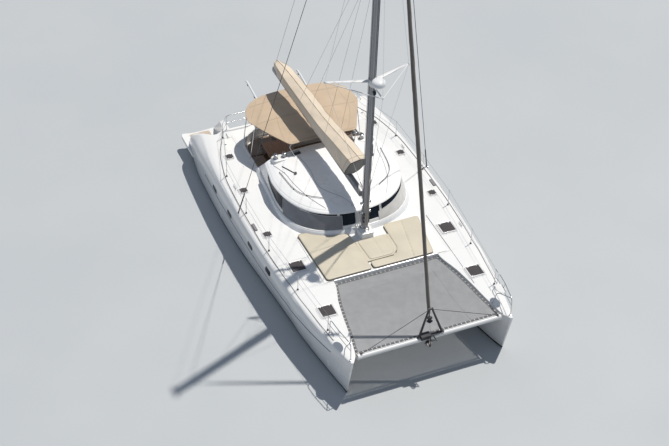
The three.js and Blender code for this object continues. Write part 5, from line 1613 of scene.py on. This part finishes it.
def forestay():
    foot, head = Vector((BEAM_X, 0, 1.652)), Vector((1.805, 0, 18.48))
    along, side = (head - foot).normalized(), Vector((0, 1, 0))
    across = along.cross(side).normalized()
    rings = []
    for t in np.linspace(0.042, 0.93, 260):
        radius = float(np.interp(t, (0.042, 0.05, 0.45, 0.9, 0.93), (0.03, 0.060, 0.071, 0.046, 0.025)))
        ring = []
        for a in np.arange(24) * TAU / 24:
            lap = ((a - t * 78) / TAU) % 1.0
            r = radius * (0.90 + 0.10 * lap + 0.012 * math.sin(a * 5 + t * 90))
            ring.append(foot.lerp(head, t) + across * (r * math.cos(a)) + side * (r * math.sin(a)))
        rings.append(ring)
    sail = Form().loft(rings)
    piece("rolled_foresail", sail, "sun_strip", stands_for="furled_genoa", slot="sailcloth", sharp=28)
    gear = Form().lathe(DRUM, foot.lerp(head, 0.0265), 32, 0, along)
    gear.bar(foot, head, 0.0115, 12, 1)
    swivel = [(0.03, -0.1), (0.042, -0.06), (0.042, 0.14), (0.02, 0.2)]
    gear.lathe(swivel, foot.lerp(head, 0.945), 18, 1, along)
    gear.block((1.70, -0.02, 18.44), (1.825, 0.02, 18.51), 1)
    piece("furling_gear", gear, "dark_paint steel")


def shrouds():
    foot, head = Vector((-0.94, 3.54, 1.648)), Vector((1.57, 0.135, HOUNDS))
    along = (head - foot).normalized()
    wire = Form().bar(foot, head, 0.0095, 12)
    wire.bar(foot - Vector((0, 0, 0.004)), foot + along * 0.05, 0.022, 14)
    wire.lathe([(0.012, 0.04), (0.022, 0.06), (0.021, 0.90), (0.0105, 0.94)], foot, 16, 1, along)
    wire.block((1.52, 0.07, HOUNDS - 0.06), (1.62, 0.151, HOUNDS + 0.06))
    pair("cap_shroud", wire, "stay_wire dark_paint", stands_for="shroud", slot="stainless")
    plate = Form().plate(rounded_box(-1.0, 1.36, -0.88, 1.655, 0.03, 4), (3.555, 3.572))
    pair("chainplate", plate, "steel", bevel=0.002)


# Boom and sail bag

# The gooseneck's pin, and the boom at rest: 3.5 degrees to one side and rising 5.3 degrees aft
GOOSE = Vector((1.385, 0.0, 3.14))
BOOM_TURN = Matrix.Rotation(math.radians(3.5), 3, "Z") @ Matrix.Rotation(math.radians(5.3), 3, "Y")
# The sail bag: distance aft along the boom, half width, shoulder and ridge height
BAG = np.array([(0.42, 0.33, 1.02, 1.13), (1.5, 0.33, 0.88, 0.98), (3.2, 0.31, 0.62, 0.72),
                (5.2, 0.29, 0.52, 0.60), (6.25, 0.235, 0.45, 0.50), (6.85, 0.11, 0.30, 0.37)])
BAG_FOOT, BAG_RAKE = 0.143, 0.55


def on_boom(x, y, z):
    """A point in the boom's own frame, x aft along it."""
    return GOOSE + BOOM_TURN @ Vector((-x, y, z))


def bag_size(x):
    return [float(steady(BAG[:, 0], BAG[:, i], x)) for i in (1, 2, 3)]


def on_bag(x, y, z):
    """A point of the bag on the boom: its front end leans aft from the ridge down to its foot."""
    lean = BAG_RAKE * max(0.0, 1 - (x - BAG[0, 0]) / 1.08) * (1 - z / bag_size(x)[2])
    return on_boom(x + lean, y, BAG_FOOT + z)


def bag_ring(x, out=0.0):
    """The bag's section: upright sides that hang in folds, a crisp shoulder, a top that rises to the zip."""
    half, top, peak = bag_size(x)
    side = smooth_line([(0.08, 0.0), (half * 0.82, top * 0.20), (half * 0.99, top * 0.58),
                        (half * 0.985, top * 0.86), (half * 0.92, top)], 6)
    lid = smooth_line([(half * 0.92, top), (half * 0.5, between(top, peak, 0.50)), (0.012, peak)], 5)[1:]
    ring = []
    for sign, profile in ((1, [*side, *lid]), (-1, [*side, *lid][::-1])):
        for y, z in profile:
            hang = math.sin(math.pi * min(1.0, z / top))
            fold = 0.011 * math.sin(x * 4.4 + sign + z * 2) + 0.009 * math.sin(x * 9.7 - z * 4 + 2 * sign)
            fold += 0.005 * math.sin(x * 23 + z * 9 * sign)
            lift = 0.0
            if z >= top:
                lift = 0.010 * math.sin(x * 6.1 + y * 9 * sign) * math.sin(x * 2.3) * min(1.0, y / 0.1) + out
            ring.append(on_bag(x, sign * (y + fold * hang + out), z + lift))
    return ring


def boxy(count):
    """Directions round a box with rounded corners, like those of circle()."""
    return [(math.copysign(abs(c) ** 0.62, c), math.copysign(abs(s) ** 0.62, s)) for c, s in circle(count)]


def boom():
    ends = ((0.12, 0.94), (0.14, 1.0), (6.98, 0.88), (7.0, 0.84))
    spar = Form().loft([[on_boom(x, 0.095 * k * c, 0.135 * k * s) for c, s in boxy(40)] for x, k in ends])
    for y in (-0.026, 0.026):
        lug = ((-0.008, -0.05), (0.0, -0.05), (0.0, 0.05), (-0.008, 0.05))
        spar.loft([[on_boom(x, y + dy, z) for dy, z in lug] for x in (0.035, 0.16)], 1)
    tongue = ((-0.026, -0.056), (0.026, -0.056), (0.026, 0.056), (-0.026, 0.056))
    spar.loft([[on_boom(x, y, z) for y, z in tongue] for x in (0.016, 0.16)], 1)
    for x in (2.2, 4.1, 5.9):
        spar.loft([[on_boom(x + dx, 0.101 * c, 0.142 * s) for c, s in boxy(32)] for dx in (-0.02, 0.02)], 1)
    piece("boom_tube", spar, "spar steel", body="boom", stands_for="boom", slot="spar")
    gear = Form()
    block = [(0.014, -0.02), (0.036, -0.018), (0.038, 0.0), (0.036, 0.018), (0.014, 0.02)]
    for x, z in ((6.92, 0.14), (6.92, -0.14), (5.4, -0.16), (4.6, -0.17)):
        gear.lathe(block, on_boom(x, 0.0, z), 18, 0, (0, 1, 0))
    piece("boom_blocks", gear, "dark_paint", body="boom")


def sail_bag():
    front, back = BAG[0, 0], BAG[-1, 0]
    xs = np.linspace(front, back, 170)
    cloth = Form().loft([bag_ring(x) for x in xs])
    piece("sail_bag_cloth", cloth, "bag", body="boom", stands_for="sail_bag", slot="canopy_fabric",
                    sharp=42)
    sizes = [(x, *bag_size(x)) for x in xs]
    zip_line = [on_bag(x, 0.0, peak + 0.004 + 0.003 * math.sin(x * 17)) for x, _, _, peak in sizes]
    trim = Form().tube(zip_line, 0.011, 8)
    for side in (-1, 1):
        trim.tube([on_bag(x, side * half * 0.925, top + 0.001) for x, half, top, _ in sizes], 0.0065, 6)
    trim.tube(bag_ring(0.66, 0.002), 0.006, 6)
    # The band round the front edge is the hem, painted near-black to stand for the shadow line along it:
    # painted shade.
    trim.tube(bag_ring(front), 0.016, 8, 1)
    # A near-black plate over the bag's front end: painted shade on the forward face, which is turned away
    # from the key.
    ahead, front_ring = on_boom(-0.006, 0, 0) - on_boom(0, 0, 0), bag_ring(front, -0.01)
    piece("sail_bag_front_shade", Form().loft([front_ring, [p + ahead for p in front_ring]]), "bag_shade", body="boom")
    piece("sail_bag_trim", trim, "bag_trim dark_paint", body="boom")


def line_to_boom(name, start, end, radius):
    line = Form().tube([start.lerp(end, t) for t in np.linspace(0, 1, 12)], radius, 8)
    made = piece(name, line, "rope_dark", body=None)
    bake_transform(made)


def lines_to_boom():
    """The topping lift and the lazy jacks run from the mast to the boom."""
    line_to_boom("topping_lift", Vector((1.38, 0.0, 20.56)), on_boom(6.97, 0.0, 0.12), 0.005)
    for name, side in SIDES:
        for i, x in enumerate((2.4, 4.4), 1):
            half, top, _ = bag_size(x)
            shoulder = on_boom(x, side * half * 0.93, BAG_FOOT + top * 0.95)
            line_to_boom(f"lazy_jack_{i}_{name}", Vector((1.49, side * 0.12, 12.6)), shoulder, 0.0035)


# Rails, pulpits, davits and winches

# Guardrail posts from aft forward: x and y
POSTS = ((-5.0, 2.62), (-2.9, 3.24), (-0.8, 3.31), (1.27, 3.29), (3.36, 3.11), (5.42, 2.93))
RAIL_TOP, RAIL_MIDDLE = DECK + 0.64, DECK + 0.33


def guardrails():
    posts, wires = Form(), Form()
    socket = [(0.036, 0.0), (0.036, 0.010), (0.024, 0.016), (0.021, 0.055)]
    post = [(0.0125, 0.05), (0.0125, 0.632), (0.0145, 0.636), (0.0145, 0.646), (0.008, 0.652)]
    for x, y in POSTS:
        posts.lathe(socket, (x, y, DECK + 0.004), 16, 1)
        posts.lathe(post, (x, y, DECK + 0.004), 12)
        for z in (RAIL_TOP, RAIL_MIDDLE):
            posts.lathe([(0.007, -0.018), (0.0085, 0.0), (0.007, 0.018)], (x, y, z), 10, 0, (1, 0.05, 0))
    points = [(-5.4, 2.33), *POSTS, (5.585, 2.925)]
    for height in (RAIL_TOP, RAIL_MIDDLE):
        route = [(between(ax, bx, t), between(ay, by, t), height - 0.010 * math.sin(math.pi * t))
                 for (ax, ay), (bx, by) in zip(points, points[1:]) for t in np.linspace(0, 1, 9)[:-1]]
        wires.tube([*route, (*points[-1], height)], 0.0042, 8)
        wires.bar((-5.38, 2.345, height), (-5.27, 2.42, height), 0.008)
        wires.bar((5.47, 2.935, height), (5.585, 2.926, height), 0.008)
    pair("guardrail_posts", posts, "rail_steel dark_paint", stands_for="guardrail", slot="stainless")
    pair("guardrail_wires", wires, "wire")
    x, outer, inner = -5.4, 2.33, 1.35
    hoop = [(x, outer, DECK - 0.01), (x, outer, RAIL_TOP), (x, inner, RAIL_TOP), (x, inner, DECK + 0.002)]
    stern = Form().tube(rounded_line(hoop, 0.12, 6), 0.0128, 14)
    stern.bar((x, outer, RAIL_MIDDLE), (x, inner, RAIL_MIDDLE), 0.0095, 12)
    for y in (outer, inner):
        stern.lathe([(0.034, 0.0), (0.034, 0.008), (0.018, 0.014), (0.016, 0.04)], (x, y, DECK + 0.001), 16)
    pair("stern_hoop", stern, "rail_steel", stands_for="stern_rail", slot="stainless")


def pulpits():
    top = RAIL_TOP
    outer = [(6.86, 2.775, DECK - 0.045), (6.82, 2.775, top - 0.02), (6.10, 2.90, top), (5.60, 2.94, top),
             (5.56, 2.93, DECK + 0.006)]
    rail = Form().tube(rounded_line(outer, 0.16, 6), 0.0138, 14)
    inner = [(6.80, 2.775, top - 0.01), (6.25, 2.56, DECK + 0.485), (6.18, 2.48, DECK)]
    rail.tube(rounded_line(inner, 0.14, 6), 0.0138, 14)
    under_seat = [(6.13, 2.74, DECK + 0.465), (6.13, 2.86, DECK + 0.50), (6.13, 2.893, top)]
    rail.tube(rounded_line(under_seat, 0.05, 4), 0.0118, 12)
    rail.bar((6.845, 2.775, RAIL_MIDDLE + 0.02), (5.575, 2.935, RAIL_MIDDLE + 0.02), 0.0095, 12)
    for at in ((6.858, 2.775, DECK - 0.03), (5.56, 2.93, DECK + 0.001), (6.18, 2.48, DECK - 0.012)):
        rail.lathe([(0.036, 0.0), (0.036, 0.008), (0.019, 0.014), (0.017, 0.035)], at, 16)
    pair("pulpit_rail", rail, "rail_steel", stands_for="pulpit", slot="stainless")
    levels = ((-0.012, DECK + 0.472), (0.0, DECK + 0.478), (0.0, DECK + 0.49), (-0.008, DECK + 0.498))
    seat = Form().loft([[(6.13 + (0.23 + by) * c, 2.74 + (0.15 + by) * s, z) for c, s in circle(40)]
                        for by, z in levels])
    pair("bow_seat", seat, "seat_white")


def davits():
    arms, gear = Form(), Form()
    path = [(-5.35, DECK + 0.006), (-5.38, 2.35), (-6.80, 2.52), (-6.90, 2.47)]
    foot = [(0.085, -0.005), (0.085, 0.010), (0.055, 0.016), (0.045, 0.05)]
    block = [(0.010, -0.02), (0.042, -0.018), (0.044, 0.0), (0.042, 0.018), (0.010, 0.02)]
    for y in (-1.0, 1.0):
        arms.tube(rounded_line([(x, y, z) for x, z in path], 0.30, 10), 0.0375, 20)
        arms.lathe(foot, (-5.35, y, DECK + 0.006))
        arms.tube([(-5.36, y, 2.00), (-5.62, y, 2.375)], 0.020, 12)
        for x, z in ((-6.74, 2.455), (-6.05, 2.375)):
            gear.lathe(block, (x, y, z - 0.03), 20, 0, (0, 1, 0))
            gear.bar((x, y, z + 0.03), (x, y, z - 0.02), 0.008, 10, 1)
        gear.lathe([(0.022, -0.012), (0.022, 0.012)], (-6.05, y, 2.345), 14, 0, (0, 1, 0))
    arms.bar((-5.7, -1.0, 2.386), (-5.7, 1.0, 2.386), 0.0275, 20)
    piece("davit_arms", arms, "white_spar", stands_for="davits", slot="stainless")
    piece("davit_blocks", gear, "dark_paint steel")


WINCH = [(0.088, 0.0), (0.088, 0.016), (0.072, 0.026), (0.066, 0.05), (0.060, 0.09), (0.060, 0.125),
         (0.072, 0.145), (0.076, 0.152), (0.076, 0.172), (0.058, 0.178), (0.055, 0.186), (0.030, 0.187),
         (0.028, 0.190), (0.008, 0.1885)]


def winches():
    roof = roof_height(-2.0, 1.62) - 0.10
    sides = [(0.018, 2.50), (0.014, 2.62), (0.006, 2.66), (0.0, 2.68), (-0.008, 2.698), (-0.02, 2.705)]
    levels = [(by, max(z, roof)) for by, z in sides if z > roof - 0.06]
    base = Form().layers(rounded_box(-2.19, 1.33, -1.85, 1.89, 0.09, 6), levels)
    pair("winch_base", base, "moulding", slot="gelcoat")
    drums, clutch = Form(), Form()
    for y in (1.45, 1.77):
        drums.lathe(WINCH, (-2.02, y, 2.703), 36)
    pair("winch_drums", drums, "winch_steel", stands_for="winches", slot="stainless", sharp=40)
    aft, fore = -2.12, -1.92
    cheeks = [(aft, -0.01), (fore, -0.01), (fore, 0.045), (aft + 0.03, 0.06), (aft, 0.03)]
    lever = [(aft + 0.02, 0.058), (aft + 0.12, 0.054), (aft + 0.12, 0.068), (aft + 0.02, 0.072)]
    for k in range(5):
        y = 1.12 - 0.055 * k
        z = roof_height(-2.02, y) + 0.002
        clutch.plate([(x, z + h) for x, h in rounded_line(cheeks, 0.012, 3, True)], (y - 0.022, y + 0.022))
        clutch.plate([(x, z + h) for x, h in lever], (y - 0.014, y + 0.014), 1)
    pair("rope_clutches", clutch, "dark_paint seat_white", bevel=0.002)


def cleats():
    steel = Form()
    for x, y, lift in ((5.62, 2.86, -0.004), (2.38, 3.22, 0.004), (-2.2, 3.20, 0.004), (-5.02, 2.44, 0.004)):
        z = DECK + lift
        for dx in (-0.045, 0.045):
            steel.lathe([(0.020, 0.0), (0.014, 0.02), (0.012, 0.042)], (x + dx, y, z), 12)
        horns = ((-0.13, 0.052), (-0.05, 0.047), (0.05, 0.047), (0.13, 0.052))
        steel.tube(smooth_line([(x + dx, y, z + h) for dx, h in horns], 4), 0.0105)
    pair("cleats", steel, "steel")


ROOF_ROPES = ([(-1.30, 1.74), (-0.6, 1.66), (0.12, 1.48), (0.55, 1.28), (0.86, 1.10)],
              [(-1.82, 1.92), (-1.31, 1.77), (-1.0, 1.70)],
              [(-1.95, 1.02), (-1.02, 0.91), (-0.10, 0.94), (0.65, 0.39), (1.05, 0.20)])


def running_lines():
    """Ropes lying on the roof, led aft from the foot of the mast, and one along the port side deck."""
    lines = Form()
    for side in (-1, 1):
        for rope in ROOF_ROPES:
            lines.tube([on_roof(x, side * y, 0.007) for x, y in smooth_line(rope, 8)], 0.0085, 6)
        for k in range(3):
            block = (1.50 - 0.03 * k, side * (0.07 + 0.057 * k), 1.985)
            bend = (1.33, side * (0.10 + 0.06 * k), 2.36)
            lines.tube([block, bend, on_roof(1.02, side * (0.13 + 0.06 * k), 0.010)], 0.006, 6)
    lines.tube([(1.51, 2.35, 1.686), (3.4, 2.35, 1.686), (5.15, 2.34, 1.684)], 0.008, 6, 1)
    piece("lines_on_roof", lines, "rope_light toe_line")


def paints():
    return {
        "topsides": white_topsides(),
        "deck": white_deck(),
        "moulding": white_moulding(),
        # Painted light: the roof's gelcoat is a lighter copy of the moulding, standing in for the sun on it.
        "roof": white_moulding("white_roof_sunlit", (0.84, 0.83, 0.81)),
        # Painted light: a lighter copy of the moulding for the coaming.
        "coaming_painted_light": white_moulding("coaming_painted_light", (0.79, 0.79, 0.785)),
        "seat_white": white_moulding("white_plastic", (0.74, 0.73, 0.71)),
        "radar_white": white_moulding("radar_white", (0.75, 0.75, 0.74)),
        "white_spar": painted("white_spar", (0.73, 0.725, 0.705), 0.35),
        "glass": smoked_glass("window_glass"),
        "stripe_frame": painted("portlight_frame", (0.05, 0.05, 0.055), 0.4),
        "toe_line": painted("dark_toe_line", (0.22, 0.205, 0.21), 0.6),
        "teak_across": teak("teak_deck", 0.048, 0, (0.52, 0.43, 0.34)),
        "teak_along": teak("teak_table", 0.075, 1, (0.33, 0.18, 0.10)),
        "dark_rail": painted("dark_rail", (0.10, 0.102, 0.108), 0.35, 0.3),
        # One screen fabric in two copies: the port copy is painted light as if in sun, the starboard copy is
        # painted dark as painted shade.
        "screen_port": plain_cloth("window_screen_port", (0.68, 0.66, 0.62), 0.003),
        "screen_starboard": plain_cloth("window_screen_starboard", (0.205, 0.21, 0.225), 0.003),
        "screen_hem": plain_cloth("screen_hem", (0.56, 0.55, 0.53), 0.003),
        "teak_sole": teak("teak_sole", 0.06, 1, (0.20, 0.125, 0.08)),
        # Near-black for the aft wall and the door: partly dark frames, partly painted shade.
        "dark_frame_and_shade": painted("dark_frame_and_shade", (0.055, 0.057, 0.062), 0.4),
        "steel": polished_steel(),
        "winch_steel": polished_steel("winch_steel", (0.34, 0.34, 0.35), 0.24),
        "rail_steel": polished_steel("rail_steel", (0.60, 0.60, 0.61), 0.25),
        "wire": painted("rail_wire", (0.24, 0.24, 0.255), 0.4, 0.3),
        "stay_wire": painted("stay_wire", (0.06, 0.062, 0.07), 0.45, 0.3),
        "hatch_frame": painted("hatch_frame", (0.72, 0.71, 0.70), 0.35, 0.1),
        "acrylic": smoked_glass("smoked_acrylic", (0.075, 0.068, 0.068)),
        "rubber": painted("black_rubber", (0.015, 0.015, 0.016), 0.75),
        "engine": painted("engine_paint", (0.05, 0.055, 0.06), 0.4),
        "bronze": polished_steel("bronze", (0.50, 0.33, 0.16), 0.3),
        "bottom": painted("bottom_paint", (0.016, 0.018, 0.022), 0.8, 0.0, 6.0),
        "cushion": vinyl("cockpit_vinyl", (0.22, 0.16, 0.12)),
        "pad": vinyl("sun_pad_vinyl", (0.56, 0.503, 0.392)),
        # Painted shade for the sun pads' sides.
        "pad_skirt": vinyl("pad_skirt", (0.10, 0.085, 0.07)),
        "piping": vinyl("pad_piping", (0.50, 0.435, 0.32)),
        "canopy": tan_canvas("canopy_canvas", (0.51, 0.39, 0.27)),
        "canopy_edge": tan_canvas("canopy_edge", (0.44, 0.34, 0.235)),
        "bag": tan_canvas("bag_canvas", (0.67, 0.565, 0.435)),
        # Painted shade: the dark plate over the sail bag's front end.
        "bag_shade": plain_cloth("bag_front_painted_shade", (0.12, 0.115, 0.105)),
        "bag_trim": tan_canvas("bag_trim", (0.36, 0.29, 0.21)),
        "net": plain_cloth("net_strap", (0.365, 0.365, 0.365), 0.003, 0.1),
        "net_border": plain_cloth("net_border", (0.13, 0.13, 0.135), 0.003),
        "lacing": laid_rope("net_lacing", (0.75, 0.74, 0.70), (0.5, 0.5, 0.48)),
        "dark_paint": painted("dark_paint", (0.045, 0.045, 0.048), 0.45, 0.2),
        "spar": dark_spar(),
        "sun_strip": plain_cloth("sail_sun_strip", (0.155, 0.135, 0.115), 0.003, 0.5),
        "rope_dark": laid_rope("dark_rope", (0.06, 0.065, 0.08), (0.30, 0.28, 0.25)),
        "rope_light": laid_rope("light_rope", (0.62, 0.60, 0.55), (0.10, 0.14, 0.30)),
    }


def floor():
    square = [(-160, -160), (160, -160), (160, 160), (-160, 160)]
    mesh = Form().prism(square, 0.0, -0.01).mesh("floor")
    made = placed("floor", mesh)
    plain = Finish("pale_floor", (0.42, 0.44, 0.45), 0.6)
    cloud = plain.noise(plain.place(), 0.12, 3.0)
    plain.set("Base Color", plain.mix(cloud.ramp(0.3, 0.7), (0.41, 0.43, 0.44), (0.44, 0.455, 0.46)))
    mesh.materials.append(plain.material)


def build():
    PAINT.update(paints())
    for make in (hulls, bridgedeck, cabin_walls, cabin_roof, bulkhead, lids, drives, cockpit, helm, helm_seat,
                 canopy, sun_pads, trampoline, crossbeam, mast, spreaders, radar, forestay, shrouds, boom,
                 sail_bag, lines_to_boom, guardrails, pulpits, davits, winches, cleats, running_lines):
        make()


camera()
light()
floor()
build()
